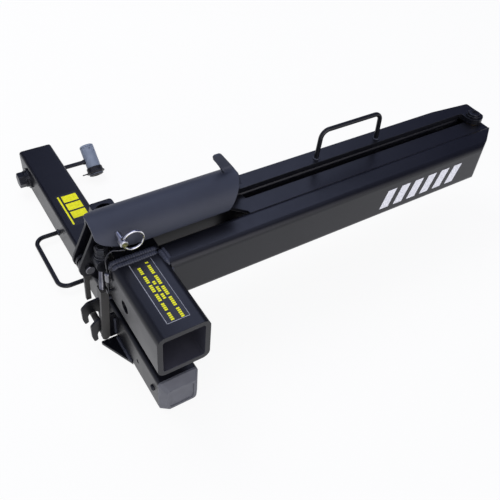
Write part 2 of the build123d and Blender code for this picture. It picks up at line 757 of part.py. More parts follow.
def draw_washers():
    """The flat washer and split washer under the draw bolt's head."""
    flat = Circle(link_washer_d / 2) - Circle(bolt_d / 2 + pin_fit)
    split = Circle(link_washer_d / 2 - 2.2) - Circle(bolt_d / 2 + pin_fit)
    low = extrude(Plane.XY.offset(trunnion_flat) * flat, link_washer_t)
    high = extrude(Plane.XY.offset(trunnion_flat + link_washer_t) * split, link_washer_t)
    return [link_place() * low, link_place() * high]


def draw_bolt():
    """The hexagon bolt that sets the latch's pull."""
    seat = trunnion_flat + 2 * link_washer_t
    bolt = hex_z(0, 0, link_hex_af, seat, seat + link_hex_h)
    bolt += rod_z(0, 0, bolt_d / 2, bar_top - block_h - bolt_end, seat)
    return link_place() * bolt


def draw_bar():
    """The flat bar that the bolt screws into, rounded about the cross pin."""
    front = bar_front_y - link_y
    low = -link_length
    bar = plate_across_y([(-bar_w / 2, low - bar_w / 2), (bar_w / 2, low - bar_w / 2), (bar_w / 2, bar_top),
                          (-bar_w / 2, bar_top)], [bar_w / 2 - 0.05, bar_w / 2 - 0.05, 1, 1], front, bar_t)
    boss = block((-block_w / 2, front, bar_top - block_h), (block_w / 2, 6.0, bar_top))
    boss = fillet(boss.edges().filter_by(Axis.Z), 1.5)
    hole = rod_z(0, 0, bolt_d / 2 + pin_fit, bar_top - block_h - bolt_end - 0.3, bar_top)
    return link_place() * (bar + boss - hole)


def hook_pin():
    """The cross pin welded to the bar's lower end, which lies in both hooks."""
    pin = rod_y(*cross_pin, cross_pin_d / 2, bar_front_y + bar_t, cross_pin_end_y)
    return chamfer(pin.faces().sort_by(Axis.Y)[-1].edges(), 1.0)


# Detent pin, ring and lanyard


def ring_centre():
    """The middle of the pull ring, beside the pin's head and a little lower."""
    angle = math.radians(-ring_drop)
    return (detent[0] + ring_r * math.cos(angle), detent[1] + ring_r * math.sin(angle))


def detent_pin():
    """The pull pin: a chamfered nose, a collar and a head drilled for the ring."""
    nose_y = cheek_front_y + cheek_t + 4.0
    pin = rod_y(*detent, detent_d / 2, detent_head_y, nose_y)
    pin = chamfer(pin.faces().sort_by(Axis.Y)[-1].edges(), 1.0)
    head = rod_y(*detent, detent_head_d / 2, detent_head_y - 5.0, detent_head_y + 4.5)
    head = fillet(head.faces().sort_by(Axis.Y)[0].edges(), 2.0)
    head = chamfer(head.faces().sort_by(Axis.Y)[-1].edges(), 0.8)
    tilt = Rot(0, ring_drop, 0)
    hole = Pos(detent[0], detent_head_y, detent[1]) * tilt * Cylinder(ring_wire / 2 + 1.2, 30)
    return pin + head - hole


def pin_ring():
    """The pull ring of round wire."""
    x, z = ring_centre()
    return Pos(x, detent_head_y, z) * Rot(90, 0, 0) * Torus(ring_r, ring_wire / 2)


def cable_bends(points):
    """For each inner point, the largest arc that its two runs leave room for."""
    radii = []
    for a, b, c in zip(points, points[1:], points[2:]):
        first, second = Vector(*b) - Vector(*a), Vector(*c) - Vector(*b)
        half_turn = math.radians(first.get_angle(second)) / 2
        radii.append(0.45 * min(first.length, second.length) / math.tan(half_turn))
    return radii


def lanyard_cable():
    """The short steel cable from the ring to the ferrule."""
    radii = cable_bends(cable_points)
    print("lanyard bend radii", [round(r, 1) for r in radii])
    return bent_wire(cable_points, cable_d, radii)


def lanyard_ferrule():
    """The crimped sleeve that closes the cable's lower loop."""
    sleeve = extrude(Plane(origin=(ferrule_x, ferrule_y, ferrule_low)) * Ellipse(*ferrule_radii), ferrule_length)
    return fillet(sleeve.edges(), 0.6)


def lanyard_loop():
    """The loop of cable below the ferrule, which hangs on the post."""
    wire = cable_d - 0.2
    low = post_z - post_d / 2 - wire / 2 - 0.2
    shoulder = ferrule_low - loop_shoulder
    y0, y1 = ferrule_y - loop_half, ferrule_y + loop_half
    pinch = wire / 2 + 0.4
    points = [(ferrule_x, ferrule_y - pinch, ferrule_low), (ferrule_x, y0, shoulder), (ferrule_x, y0, low),
              (ferrule_x, y1, low), (ferrule_x, y1, shoulder), (ferrule_x, ferrule_y + pinch, ferrule_low)]
    return bent_wire(points, wire, [4, 2.6, 2.6, 4])


def lanyard_post():
    """The small headed post on the receiver's side."""
    neck_x = ferrule_x - cable_d / 2 - 0.6
    post = rod_x(ferrule_y, post_z, post_d / 2, neck_x, -receiver_half)
    return post + rod_x(ferrule_y, post_z, post_head_d / 2, neck_x - post_head_t, neck_x)


# Lock on the hitch bolt


def lock_plane(distance):
    """A plane across the lock's axis, at a distance from its middle towards the key end."""
    tilt = math.radians(lock_tilt)
    axis = Vector(0, -math.cos(tilt), -math.sin(tilt))
    centre = Vector(lock_x, hitch_bolt_y, stinger_z) + axis * distance
    return Plane(origin=centre, x_dir=(1, 0, 0), z_dir=axis)


def lock_body():
    """The barrel: a cross bore for the bolt's neck and a bore for the key core."""
    half = lock_length / 2
    body = extrude(lock_plane(-half) * Circle(lock_d / 2), lock_length)
    body = fillet(body.faces().sort_by(Axis.Y)[-1].edges(), 2.0)
    body = body - rod_x(hitch_bolt_y, stinger_z, hitch_neck_d / 2 + pin_fit, lock_x - lock_d,
                        hitch_neck_end_x + 0.3)
    return body - extrude(lock_plane(half - lock_core_depth) * Circle(lock_core_d / 2), lock_core_depth)


def lock_core():
    """The key core, with its keyway."""
    half = lock_length / 2
    core = extrude(lock_plane(half - lock_core_depth + 0.1) * Circle(lock_core_d / 2 - pin_fit),
                   lock_core_depth - 0.1)
    return core - extrude(lock_plane(half - keyway_depth) * Rectangle(*keyway), keyway_depth)


def dust_cap():
    """The soft cap over the key end, with a small pull tab."""
    half = lock_length / 2
    mouth = lock_plane(half - dust_cap_reach)
    outer_r = lock_d / 2 + dust_cap_wall
    cup = extrude(mouth * Circle(outer_r), dust_cap_reach + dust_cap_end)
    cup = fillet(cup.faces().sort_by(Axis.Y)[0].edges(), dust_cap_lip)
    lip = extrude(mouth * Circle(outer_r + dust_cap_lip), dust_cap_lip_t)
    tab = extrude(mouth * Pos(-outer_r - dust_cap_lip, 0) * RectangleRounded(9.0, 8.0, 2.0), dust_cap_lip_t)
    return cup + lip + tab - extrude(mouth * Circle(lock_d / 2 + pin_fit), dust_cap_reach + pin_fit)


parts = {
    "stinger_tube": stinger_tube(),
    "end_cap": end_cap(),
    "snap_button": snap_button(),
    "button_spring": button_spring(),
    "riser": riser(),
    "fixed_beam": fixed_beam(),
    "fixed_top_strap": fixed_strap(fixed_half),
    "fixed_bottom_strap": fixed_strap(-fixed_top),
    "rear_brace": rear_brace(),
    "keeper_hook_front": keeper_hook(hook_front_y),
    "keeper_hook_rear": keeper_hook(hook_rear_y),
    "hook_gusset": hook_gusset(),
    "side_loop": side_loop(),
    "carry_handle": carry_handle(),
    "pivot_bolt": pivot_bolt(),
    "pivot_washers": pivot_washers(),
    "pivot_nut": pivot_nut(),
    "hitch_bolt": hitch_bolt(),
    "hitch_washers": hitch_washers(),
    "hitch_nut": hitch_nut(),
    "receiver_tube": receiver_tube(),
    "receiver_back_plate": back_plate(),
    "swing_beam": swing_beam(),
    "swing_beam_end_plate": swing_beam_end(),
    "swing_top_strap": swing_strap(strap_top - swing_strap_t),
    "swing_bottom_strap": swing_strap(-strap_top),
    "pivot_sleeve": pivot_sleeve(),
    "pivot_bushes": pivot_bushes(),
    "latch_plate": latch_plate(),
    "lock_ear": lock_ear(),
    "latch_web": latch_web(),
    "latch_ear_front": latch_ear(ear_front_y),
    "latch_ear_rear": latch_ear(ear_rear_y),
    "latch_foot": latch_foot(),
    "lever_pivot_pin": lever_pin(),
    "lever_handle": lever_handle(),
    "lever_cheek_front": lever_cheek(cheek_front_y),
    "lever_cheek_rear": lever_cheek(cheek_rear_y),
    "finger_tab": finger_tab(),
    "trunnion": trunnion(),
    "draw_washers": draw_washers(),
    "draw_bolt": draw_bolt(),
    "draw_bar": draw_bar(),
    "cross_pin": hook_pin(),
    "detent_pin": detent_pin(),
    "pin_ring": pin_ring(),
    "lanyard_cable": lanyard_cable(),
    "lanyard_ferrule": lanyard_ferrule(),
    "lanyard_loop": lanyard_loop(),
    "lanyard_post": lanyard_post(),
    "lock_body": lock_body(),
    "lock_core": lock_core(),
    "lock_dust_cap": dust_cap(),
}

os.makedirs("parts", exist_ok=True)
for name, shape in parts.items():
    export_step(Compound(children=shape) if isinstance(shape, list) else shape, f"parts/{name}.step")
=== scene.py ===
import json
import math

import bmesh
import bpy
from mathutils import Matrix, Vector, noise

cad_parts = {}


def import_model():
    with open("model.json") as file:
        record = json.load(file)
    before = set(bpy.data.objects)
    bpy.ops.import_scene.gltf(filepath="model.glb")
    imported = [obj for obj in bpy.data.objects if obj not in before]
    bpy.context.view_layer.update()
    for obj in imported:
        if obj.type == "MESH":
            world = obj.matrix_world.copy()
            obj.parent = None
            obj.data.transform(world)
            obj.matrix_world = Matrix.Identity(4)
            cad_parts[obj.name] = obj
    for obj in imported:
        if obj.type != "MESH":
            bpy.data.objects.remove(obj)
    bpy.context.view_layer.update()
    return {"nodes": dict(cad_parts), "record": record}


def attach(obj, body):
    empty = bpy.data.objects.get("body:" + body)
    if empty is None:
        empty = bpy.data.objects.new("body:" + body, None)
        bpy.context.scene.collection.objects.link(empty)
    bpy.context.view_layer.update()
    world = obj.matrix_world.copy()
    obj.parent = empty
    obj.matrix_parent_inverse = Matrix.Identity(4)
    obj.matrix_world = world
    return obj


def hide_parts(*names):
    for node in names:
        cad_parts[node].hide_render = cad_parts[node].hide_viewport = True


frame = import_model()
nodes = frame["nodes"]
record = frame["record"]

# Lengths are in millimetres and become metres through MM, apart from the studio's, which are in metres.
MM = 0.001


# Places and sizes that the extra pieces share with the frame


def box_of(name):
    """The lowest and the highest corner of a solid."""
    corners = nodes[name].bound_box
    return [[round(pick(corner[i] for corner in corners) / MM, 2) for i in range(3)] for pick in (min, max)]


def joint_place(name):
    """The place of a joint."""
    return Vector([distance / MM for distance in joints[name]["pos_m"]])


joints = {joint["name"]: joint for joint in record["behaviour"]["joints"]}
mounts = {mount["name"]: mount for mount in record["mounts"]}

pivot = joint_place("arm_swing")
detent = joint_place("ring_turn")
link_joint = joint_place("link_turn")
lock_middle = joint_place("key_turn")
lock_axis = Vector(joints["key_turn"]["axis"]).normalized()

receiver_half, receiver_depth = box_of("receiver_tube")[1][:2]
receiver_wall = 6.35
pin_hole_y = mounts["receiver_pin_hole"]["pos_m"][1] / MM
pin_hole_r = mounts["receiver_pin_hole"]["dims"]["r_mm"]
beam_front_y = box_of("swing_beam")[0][1]
fixed_front_y = box_of("fixed_beam")[0][1]
fixed_end_x, fixed_rear_y = box_of("fixed_beam")[1][:2]
fixed_top = box_of("fixed_top_strap")[1][2]
stinger_half, stinger_top = box_of("stinger_tube")[1][0], box_of("stinger_tube")[1][2]
stinger_bottom = box_of("stinger_tube")[0][2]
wire_r = 3.175

cable_route = [(-11.5, 118.4, 48.7), (-19.5, 119.4, 50.5), (-27.0, 119.6, 53.5), (-33.0, 119.2, 50.0),
               (-36.0, 118.3, 42.5), (-35.3, 118.0, 32.0), (-35.3, 118.0, 21.0)]


# Shader helpers


def shader(name):
    """A new node material: its tree, its Principled shader and an object coordinate."""
    mat = bpy.data.materials.new(name)
    mat.use_nodes = True
    tree = mat.node_tree
    principled = tree.nodes["Principled BSDF"]
    coord = tree.nodes.new("ShaderNodeTexCoord")
    return mat, tree, principled, coord.outputs["Object"]


def fill(tree, bsdf, colour, roughness, normal):
    """Joins a colour, a roughness and a normal to a Principled shader."""
    tree.links.new(colour, bsdf.inputs["Base Color"])
    tree.links.new(roughness, bsdf.inputs["Roughness"])
    tree.links.new(normal, bsdf.inputs["Normal"])


def noise_value(tree, vector, scale, detail=3.0, roughness=0.55, stretch=(1.0, 1.0, 1.0)):
    """A noise texture's value over the object's own coordinates."""
    mapping = tree.nodes.new("ShaderNodeMapping")
    mapping.inputs["Scale"].default_value = stretch
    tree.links.new(vector, mapping.inputs["Vector"])
    tex = tree.nodes.new("ShaderNodeTexNoise")
    tex.inputs["Scale"].default_value = scale
    tex.inputs["Detail"].default_value = detail
    tex.inputs["Roughness"].default_value = roughness
    tree.links.new(mapping.outputs["Vector"], tex.inputs["Vector"])
    return tex.outputs["Fac"]


def ramp(tree, value, stops):
    """A colour ramp through (position, colour) stops."""
    node = tree.nodes.new("ShaderNodeValToRGB")
    for element, (position, colour) in zip(node.color_ramp.elements, stops):
        element.position = position
        element.color = (*colour, 1.0)
    tree.links.new(value, node.inputs["Fac"])
    return node.outputs["Color"]


def mottled(tree, vector, scale, dark, light, detail=3.0, spots=(0.3, 0.7)):
    """A colour that wanders between a dark and a light tone."""
    return ramp(tree, noise_value(tree, vector, scale, detail), zip(spots, (dark, light)))


def patchy(tree, vector, scale, low, high):
    """A value that wanders between two bounds."""
    node = tree.nodes.new("ShaderNodeMapRange")
    node.inputs["To Min"].default_value = low
    node.inputs["To Max"].default_value = high
    tree.links.new(noise_value(tree, vector, scale), node.inputs["Value"])
    return node.outputs["Result"]


def bump(tree, height, strength, distance_mm, normal=None):
    """A bump from a height value, on top of an earlier normal if there is one."""
    node = tree.nodes.new("ShaderNodeBump")
    node.inputs["Strength"].default_value = strength
    node.inputs["Distance"].default_value = distance_mm * MM
    tree.links.new(height, node.inputs["Height"])
    if normal is not None:
        tree.links.new(normal, node.inputs["Normal"])
    return node.outputs["Normal"]


def rounded_normal(tree, radius_mm):
    """A normal that is rounded over sharp edges."""
    node = tree.nodes.new("ShaderNodeBevel")
    node.samples = 6
    node.inputs["Radius"].default_value = radius_mm * MM
    return node.outputs["Normal"]


def edge_mask(tree, radius_mm):
    """1 on sharp outer and inner edges, 0 on flat faces, from how far the rounded normal leans."""
    flat_cosine, edge_cosine = 0.995, 0.86
    plain = tree.nodes.new("ShaderNodeNewGeometry")
    dot = tree.nodes.new("ShaderNodeVectorMath")
    dot.operation = "DOT_PRODUCT"
    tree.links.new(rounded_normal(tree, radius_mm), dot.inputs[0])
    tree.links.new(plain.outputs["Normal"], dot.inputs[1])
    span = tree.nodes.new("ShaderNodeMapRange")
    span.inputs["From Min"].default_value = flat_cosine
    span.inputs["From Max"].default_value = edge_cosine
    tree.links.new(dot.outputs["Value"], span.inputs["Value"])
    return span.outputs["Result"]


def mix_colour(tree, share, first, second):
    """A mix of two colours or colour sockets."""
    node = tree.nodes.new("ShaderNodeMix")
    node.data_type = "RGBA"
    tree.links.new(share, node.inputs["Factor"])
    for socket, value in ((node.inputs["A"], first), (node.inputs["B"], second)):
        if isinstance(value, tuple):
            socket.default_value = (*value, 1.0)
        else:
            tree.links.new(value, socket)
    return node.outputs["Result"]


def worked_out(tree, operation, first, second):
    """A value worked out from a socket and a second socket or number."""
    node = tree.nodes.new("ShaderNodeMath")
    node.operation = operation
    tree.links.new(first, node.inputs[0])
    if isinstance(second, float):
        node.inputs[1].default_value = second
    else:
        tree.links.new(second, node.inputs[1])
    return node.outputs["Value"]


def edge_wear(tree, vector, radius_mm, scale, spots, most):
    """How worn a finish is: broken patches along its edges, up to a share."""
    patches = mottled(tree, vector, scale, (0.0,) * 3, (most,) * 3, spots=spots)
    return worked_out(tree, "MULTIPLY", edge_mask(tree, radius_mm), patches)


# Materials


def powder_coat(name, dark, light, grain, rough):
    """Satin powder coat: a fine pebbled film, slightly uneven in shade, worn thin along its edges."""
    mat, tree, bsdf, vector = shader(name)
    bsdf.inputs["IOR"].default_value = 1.45
    colour = mottled(tree, vector, 14.0, dark, light, 4.0)
    wear = edge_wear(tree, vector, 0.7, 160.0, (0.48, 0.7), 0.5)
    colour = mix_colour(tree, wear, colour, (0.11, 0.115, 0.125))
    swell = noise_value(tree, vector, 260.0 / grain, 2.0, 0.5)
    pebble = noise_value(tree, vector, 1500.0 / grain, 2.0, 0.5)
    normal = bump(tree, swell, 0.12, 0.12, rounded_normal(tree, 0.8))
    fill(tree, bsdf, colour, patchy(tree, vector, 55.0, *rough), bump(tree, pebble, 0.35, 0.05, normal))
    return mat


def plated_steel(name, dark, light, rough=(0.22, 0.4), scratches=0.25):
    """Plated steel with fine drawn marks and dull patches."""
    mat, tree, bsdf, vector = shader(name)
    bsdf.inputs["Metallic"].default_value = 1.0
    colour = mottled(tree, vector, 90.0, dark, light, 4.0, (0.3, 0.72))
    marks = noise_value(tree, vector, 900.0, 3.0, 0.6, (1.0, 0.25, 0.6))
    normal = bump(tree, marks, scratches, 0.03, rounded_normal(tree, 0.35))
    fill(tree, bsdf, colour, patchy(tree, vector, 240.0, *rough), normal)
    return mat


def black_oxide():
    """Blackened fasteners: metallic and a little glossier than the coat, lighter along every edge as rubbed
    wear and as a painted highlight on the rims.
    """
    mat, tree, bsdf, vector = shader("black_oxide")
    bsdf.inputs["Metallic"].default_value = 0.75
    colour = mottled(tree, vector, 120.0, (0.014, 0.015, 0.019), (0.036, 0.038, 0.045), 4.0)
    # Lighter along every edge: partly rubbed wear, partly a painted highlight on the rims.
    colour = mix_colour(tree, edge_mask(tree, 0.5), colour, (0.12, 0.12, 0.13))
    normal = bump(tree, noise_value(tree, vector, 1100.0, 2.0), 0.2, 0.04, rounded_normal(tree, 0.4))
    fill(tree, bsdf, colour, patchy(tree, vector, 200.0, 0.26, 0.42), normal)
    return mat


def moulded_plastic():
    """The cap's mid grey plastic with a fine spark eroded grain."""
    mat, tree, bsdf, vector = shader("cap_plastic")
    colour = mottled(tree, vector, 40.0, (0.095, 0.098, 0.108), (0.125, 0.128, 0.14))
    normal = bump(tree, noise_value(tree, vector, 1800.0, 2.0), 0.3, 0.05, rounded_normal(tree, 0.7))
    fill(tree, bsdf, colour, patchy(tree, vector, 150.0, 0.42, 0.56), normal)
    return mat


def enamel():
    """The lock barrel's blue grey satin enamel, chipped to metal at its edges."""
    mat, tree, bsdf, vector = shader("lock_enamel")
    colour = mottled(tree, vector, 60.0, (0.2, 0.235, 0.3), (0.25, 0.29, 0.36))
    wear = edge_wear(tree, vector, 0.6, 300.0, (0.5, 0.66), 0.8)
    colour = mix_colour(tree, wear, colour, (0.45, 0.46, 0.48))
    normal = bump(tree, noise_value(tree, vector, 1300.0, 2.0), 0.2, 0.03, rounded_normal(tree, 0.6))
    fill(tree, bsdf, colour, patchy(tree, vector, 220.0, 0.36, 0.5), normal)
    return mat


def rubber():
    """The dust cap's satin black rubber."""
    mat, tree, bsdf, vector = shader("cap_rubber")
    colour = mottled(tree, vector, 80.0, (0.006, 0.006, 0.008), (0.012, 0.012, 0.015))
    normal = bump(tree, noise_value(tree, vector, 1500.0, 2.0), 0.35, 0.05, rounded_normal(tree, 0.6))
    fill(tree, bsdf, colour, patchy(tree, vector, 260.0, 0.34, 0.5), normal)
    return mat


def metal_tone(name, dark, light, rough):
    """A plain metal such as bronze or brass, with fine turned marks."""
    mat, tree, bsdf, vector = shader(name)
    bsdf.inputs["Metallic"].default_value = 1.0
    colour = mottled(tree, vector, 200.0, dark, light, 4.0)
    normal = bump(tree, noise_value(tree, vector, 1200.0, 2.0), 0.15, 0.03, rounded_normal(tree, 0.3))
    fill(tree, bsdf, colour, patchy(tree, vector, 300.0, *rough), normal)
    return mat


def print_ink(name, dark, light, rough=0.5):
    """Printed film on the coat, a little worn and uneven."""
    mat, tree, bsdf, vector = shader(name)
    colour = mottled(tree, vector, 220.0, dark, light, 4.0, (0.32, 0.6))
    normal = bump(tree, noise_value(tree, vector, 1500.0, 2.0), 0.25, 0.04)
    fill(tree, bsdf, colour, patchy(tree, vector, 500.0, rough - 0.1, rough + 0.1), normal)
    return mat


tube_coat = powder_coat("powder_coat", (0.0032, 0.0034, 0.0052), (0.0054, 0.0057, 0.0082), 1.0, (0.29, 0.38))
oxide = black_oxide()
zinc = plated_steel("zinc_plate", (0.42, 0.42, 0.44), (0.62, 0.62, 0.64))
materials = {
    "powder_coat": tube_coat,
    "black_oxide": oxide,
    "cap_plastic": moulded_plastic(),
    "zinc_plate": zinc,
    "bright_chrome": plated_steel("bright_chrome", (0.68, 0.68, 0.7), (0.82, 0.82, 0.84), (0.1, 0.2), 0.1),
    "bronze": metal_tone("bronze", (0.36, 0.24, 0.1), (0.5, 0.36, 0.18), (0.3, 0.45)),
    "lock_enamel": enamel(),
    "brass_core": metal_tone("brass_core", (0.5, 0.38, 0.18), (0.66, 0.53, 0.3), (0.2, 0.35)),
    "cap_rubber": rubber(),
}
grip_coat = powder_coat("grip_coat", (0.027, 0.031, 0.044), (0.037, 0.042, 0.06), 1.3, (0.44, 0.58))
inner_coat = powder_coat("inner_coat", (0.03, 0.03, 0.04), (0.06, 0.06, 0.075), 1.0, (0.4, 0.55))
# The beads wear the tubes' powder coat painted several times lighter: a painted highlight on their ripples,
# not a colour of their own.
weld_highlight_coat = powder_coat("weld_highlight_coat", (0.018, 0.02, 0.03), (0.042, 0.046, 0.064), 0.8, (0.22, 0.42))
bar_coat = powder_coat("bar_coat", (0.042, 0.041, 0.037), (0.062, 0.06, 0.054), 1.2, (0.4, 0.55))
cable_steel = plated_steel("cable_coat", (0.05, 0.05, 0.055), (0.12, 0.12, 0.125), (0.3, 0.45))
pin_steel = plated_steel("pin_steel", (0.16, 0.16, 0.17), (0.3, 0.3, 0.32), (0.24, 0.38))
film_black = print_ink("film_black", (0.006, 0.006, 0.007), (0.011, 0.011, 0.013), 0.3)
film_yellow = print_ink("film_yellow", (0.72, 0.7, 0.004), (0.86, 0.84, 0.008))
film_silver = print_ink("film_silver", (0.3, 0.31, 0.33), (0.42, 0.43, 0.45))
film_white = print_ink("film_white", (0.74, 0.74, 0.74), (0.86, 0.86, 0.86))

# Each solid wears its slot's material, apart from the few whose shade differs in the photo.
own_coats = {"draw_bar": bar_coat, "latch_foot": bar_coat, "cross_pin": bar_coat, "detent_pin": zinc,
             "snap_button": oxide, "trunnion": oxide, "lanyard_post": oxide, "lever_pivot_pin": pin_steel}
slot_of = {row["node"]: row["material_slot"] for row in record["subparts"]}
for name, node in nodes.items():
    node.data.materials.clear()
    node.data.materials.append(own_coats.get(name, materials[slot_of[name]]))


# New objects and meshes


def linked(name, data):
    """A new object in the scene."""
    obj = bpy.data.objects.new(name, data)
    bpy.context.scene.collection.objects.link(obj)
    return obj


def mesh_from(bm, name):
    """A new mesh from a bmesh, which is used up."""
    mesh = bpy.data.meshes.new(name)
    bm.to_mesh(mesh)
    bm.free()
    return mesh


# Outlines and paths


def polygon(centre, radius, count):
    """The corners of a regular polygon."""
    angles = [2 * math.pi * i / count for i in range(count)]
    return [(centre[0] + radius * math.cos(a), centre[1] + radius * math.sin(a)) for a in angles]


def hexagon_radius(across_flats):
    """The distance from a hexagon's middle to its corners."""
    return across_flats / 2 / math.cos(math.pi / 6)


def rounded(points, radii, steps=6):
    """An outline with each corner rounded by its own radius."""
    out = []
    for i, (point, radius) in enumerate(zip(points, radii)):
        here = Vector(point)
        back = (Vector(points[i - 1]) - here).normalized()
        ahead = (Vector(points[(i + 1) % len(points)]) - here).normalized()
        if radius == 0:
            out.append(tuple(here))
            continue
        half = back.angle(ahead) / 2
        centre = here + (back + ahead).normalized() * radius / math.sin(half)
        start, stop = here + back * radius / math.tan(half), here + ahead * radius / math.tan(half)
        start_angle = math.atan2(start.y - centre.y, start.x - centre.x)
        stop_angle = math.atan2(stop.y - centre.y, stop.x - centre.x)
        sweep = (stop_angle - start_angle + math.pi) % (2 * math.pi) - math.pi
        angles = [start_angle + sweep * k / steps for k in range(steps + 1)]
        out += [(centre.x + radius * math.cos(a), centre.y + radius * math.sin(a)) for a in angles]
    return out


def flat_bar(x0, y0, x1, y1, z):
    """The outline of a bar lying flat at height z."""
    return [(x0, y0, z), (x1, y0, z), (x1, y1, z), (x0, y1, z)]


def flat_label(x0, y0, x1, y1, z, radius):
    """The outline of a label lying flat at height z, with round corners."""
    corners = ((x1 - radius, y1 - radius, 0), (x0 + radius, y1 - radius, 90),
               (x0 + radius, y0 + radius, 180), (x1 - radius, y0 + radius, 270))
    steps = 5
    points = []
    for cx, cy, start in corners:
        for i in range(steps + 1):
            angle = math.radians(start + 90 * i / steps)
            points.append((cx + radius * math.cos(angle), cy + radius * math.sin(angle), z))
    return points


def circle_points(centre, radius, normal):
    """Points round a circle, the first repeated at the end."""
    count = 40
    normal = Vector(normal).normalized()
    first = normal.orthogonal().normalized()
    second = normal.cross(first)
    angles = [2 * math.pi * i / count for i in range(count + 1)]
    return [Vector(centre) + (first * math.cos(a) + second * math.sin(a)) * radius for a in angles]


def even_path(points, step):
    """Points at an even step along a run of straight lines."""
    points = [Vector(p) for p in points]
    out = [points[0]]
    for a, b in zip(points, points[1:]):
        count = max(1, round((b - a).length / step))
        out += [a.lerp(b, (i + 1) / count) for i in range(count)]
    return out


def path_frames(points):
    """For each point of a path, two directions across it that don't twist."""
    frames = []
    across = None
    for i, point in enumerate(points):
        ahead = points[min(i + 1, len(points) - 1)] - points[max(i - 1, 0)]
        ahead.normalize()
        if across is None:
            across = ahead.orthogonal().normalized()
        across = (across - ahead * across.dot(ahead)).normalized()
        frames.append((point, across.copy(), ahead.cross(across).normalized()))
    return frames


def spline_points(points, steps):
    """Points along a smooth curve whose control points are the route."""
    data = bpy.data.curves.new("route", "CURVE")
    data.dimensions = "3D"
    data.resolution_u = steps
    spline = data.splines.new("NURBS")
    spline.points.add(len(points) - 1)
    for target, point in zip(spline.points, points):
        target.co = (*point, 1.0)
    spline.order_u = 3
    spline.use_endpoint_u = True
    holder = linked("route", data)
    bpy.context.view_layer.update()
    mesh = bpy.data.meshes.new_from_object(holder)
    found = [v.co.copy() for v in mesh.vertices]
    bpy.data.meshes.remove(mesh)
    bpy.data.objects.remove(holder)
    bpy.data.curves.remove(data)
    return found


# Solids in mesh code


def add_ring(bm, centre, first, second, radii):
    """A loop of vertices about a centre, with one radius for each vertex."""
    count = len(radii)
    ring = []
    for i, radius in enumerate(radii):
        angle = 2 * math.pi * i / count
        ring.append(bm.verts.new(centre + (first * math.cos(angle) + second * math.sin(angle)) * radius))
    return ring


def join_rings(bm, low, high):
    """Faces between two rings of vertices."""
    for i in range(len(low)):
        j = (i + 1) % len(low)
        bm.faces.new((low[i], low[j], high[j], high[i]))


def skin(bm, rings, closed=False):
    """Faces between rings that follow each other, with the two ends capped unless the run is closed."""
    pairs = list(zip(rings, rings[1:]))
    if closed:
        pairs.append((rings[-1], rings[0]))
    for low, high in pairs:
        join_rings(bm, low, high)
    if not closed:
        bm.faces.new(list(reversed(rings[0])))
        bm.faces.new(rings[-1])


def slab(bm, low, high):
    """A solid between two outlines that lie over each other."""
    ends = [[bm.verts.new(corner) for corner in outline] for outline in (low, high)]
    bm.faces.new(list(reversed(ends[0])))
    bm.faces.new(ends[1])
    join_rings(bm, *ends)


def prism(bm, outline, low, high):
    """A straight solid over an outline in X and Y, between two heights."""
    slab(bm, *([(x, y, z) for x, y in outline] for z in (low, high)))


def decal_bar(bm, corners, lift, thickness):
    """A thin plate with the given outline, standing off a surface by lift along its normal."""
    corners = [Vector(c) for c in corners]
    normal = (corners[1] - corners[0]).cross(corners[2] - corners[0]).normalized()
    slab(bm, *([c + normal * height for c in corners] for height in (lift, lift + thickness)))


def turned(bm, profile, centre, axis, count):
    """A solid of revolution: (distance along the axis, radius) pairs, closed at both ends."""
    axis = Vector(axis).normalized()
    first = axis.orthogonal().normalized()
    second = axis.cross(first)
    skin(bm, [add_ring(bm, Vector(centre) + axis * along, first, second, [radius] * count)
              for along, radius in profile])


def drill(low, high, radius, centre, axis, count):
    """A plain round tool for a hole or a boss."""
    bm = bmesh.new()
    turned(bm, [(low, radius), (high, radius)], centre, axis, count)
    return bm


def thread(start, count, pitch, root, crest):
    """The profile of a thread: root and crest by turns along the axis."""
    return [(start + (i + part / 2) * pitch, (root, crest)[part]) for i in range(count) for part in (0, 1)]


def plain_mesh(bm, name="work"):
    """A mesh in metres from a bmesh in millimetres."""
    bmesh.ops.scale(bm, vec=(MM, MM, MM), verts=bm.verts)
    bmesh.ops.recalc_face_normals(bm, faces=bm.faces)
    return mesh_from(bm, name)


def node_mesh(name):
    """A copy of a node's mesh with its split corners joined again."""
    bm = bmesh.new()
    bm.from_mesh(nodes[name].data)
    bmesh.ops.remove_doubles(bm, verts=bm.verts, dist=0.001 * MM)
    mesh = mesh_from(bm, name)
    if "custom_normal" in mesh.attributes:
        mesh.attributes.remove(mesh.attributes["custom_normal"])
    return mesh


def shaped(mesh, tools):
    """The mesh with each (operation, tool) pair carried out on it."""
    work = [linked("work", mesh)]
    for operation, bm in tools:
        tool = linked("tool", plain_mesh(bm, "tool"))
        change = work[0].modifiers.new("change", "BOOLEAN")
        change.operation = operation
        change.object = tool
        change.solver = "EXACT"
        work.append(tool)
    graph = bpy.context.evaluated_depsgraph_get()
    result = bpy.data.meshes.new_from_object(work[0].evaluated_get(graph))
    for obj in work:
        data = obj.data
        bpy.data.objects.remove(obj)
        bpy.data.meshes.remove(data)
    return result


# Pieces


def placed(name, mesh, body):
    """A mesh as a piece that rides on a body."""
    obj = linked(name, mesh)
    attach(obj, body)
    return obj


def piece(name, bm, body, material, smooth=True):
    """Turns a bmesh in millimetres into a piece that adds to the solids."""
    mesh = plain_mesh(bm, name)
    for face in mesh.polygons:
        face.use_smooth = smooth
    mesh.materials.append(material)
    return placed(name, mesh, body)


def stand_in(name, mesh, body, material, node, edge_angle=28.0):
    """A piece in place of a node, smooth apart from its sharp edges."""
    mesh.materials.clear()
    mesh.materials.append(material)
    for face in mesh.polygons:
        face.use_smooth = True
        face.material_index = 0
    mesh.set_sharp_from_angle(angle=math.radians(edge_angle))
    obj = placed(name, mesh, body)
    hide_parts(node)
    return obj


def second_material(obj, material, chosen):
    """Gives a second material to the faces whose middle is chosen."""
    obj.data.materials.append(material)
    for face in obj.data.polygons:
        if chosen(face.center / MM):
            face.material_index = 1


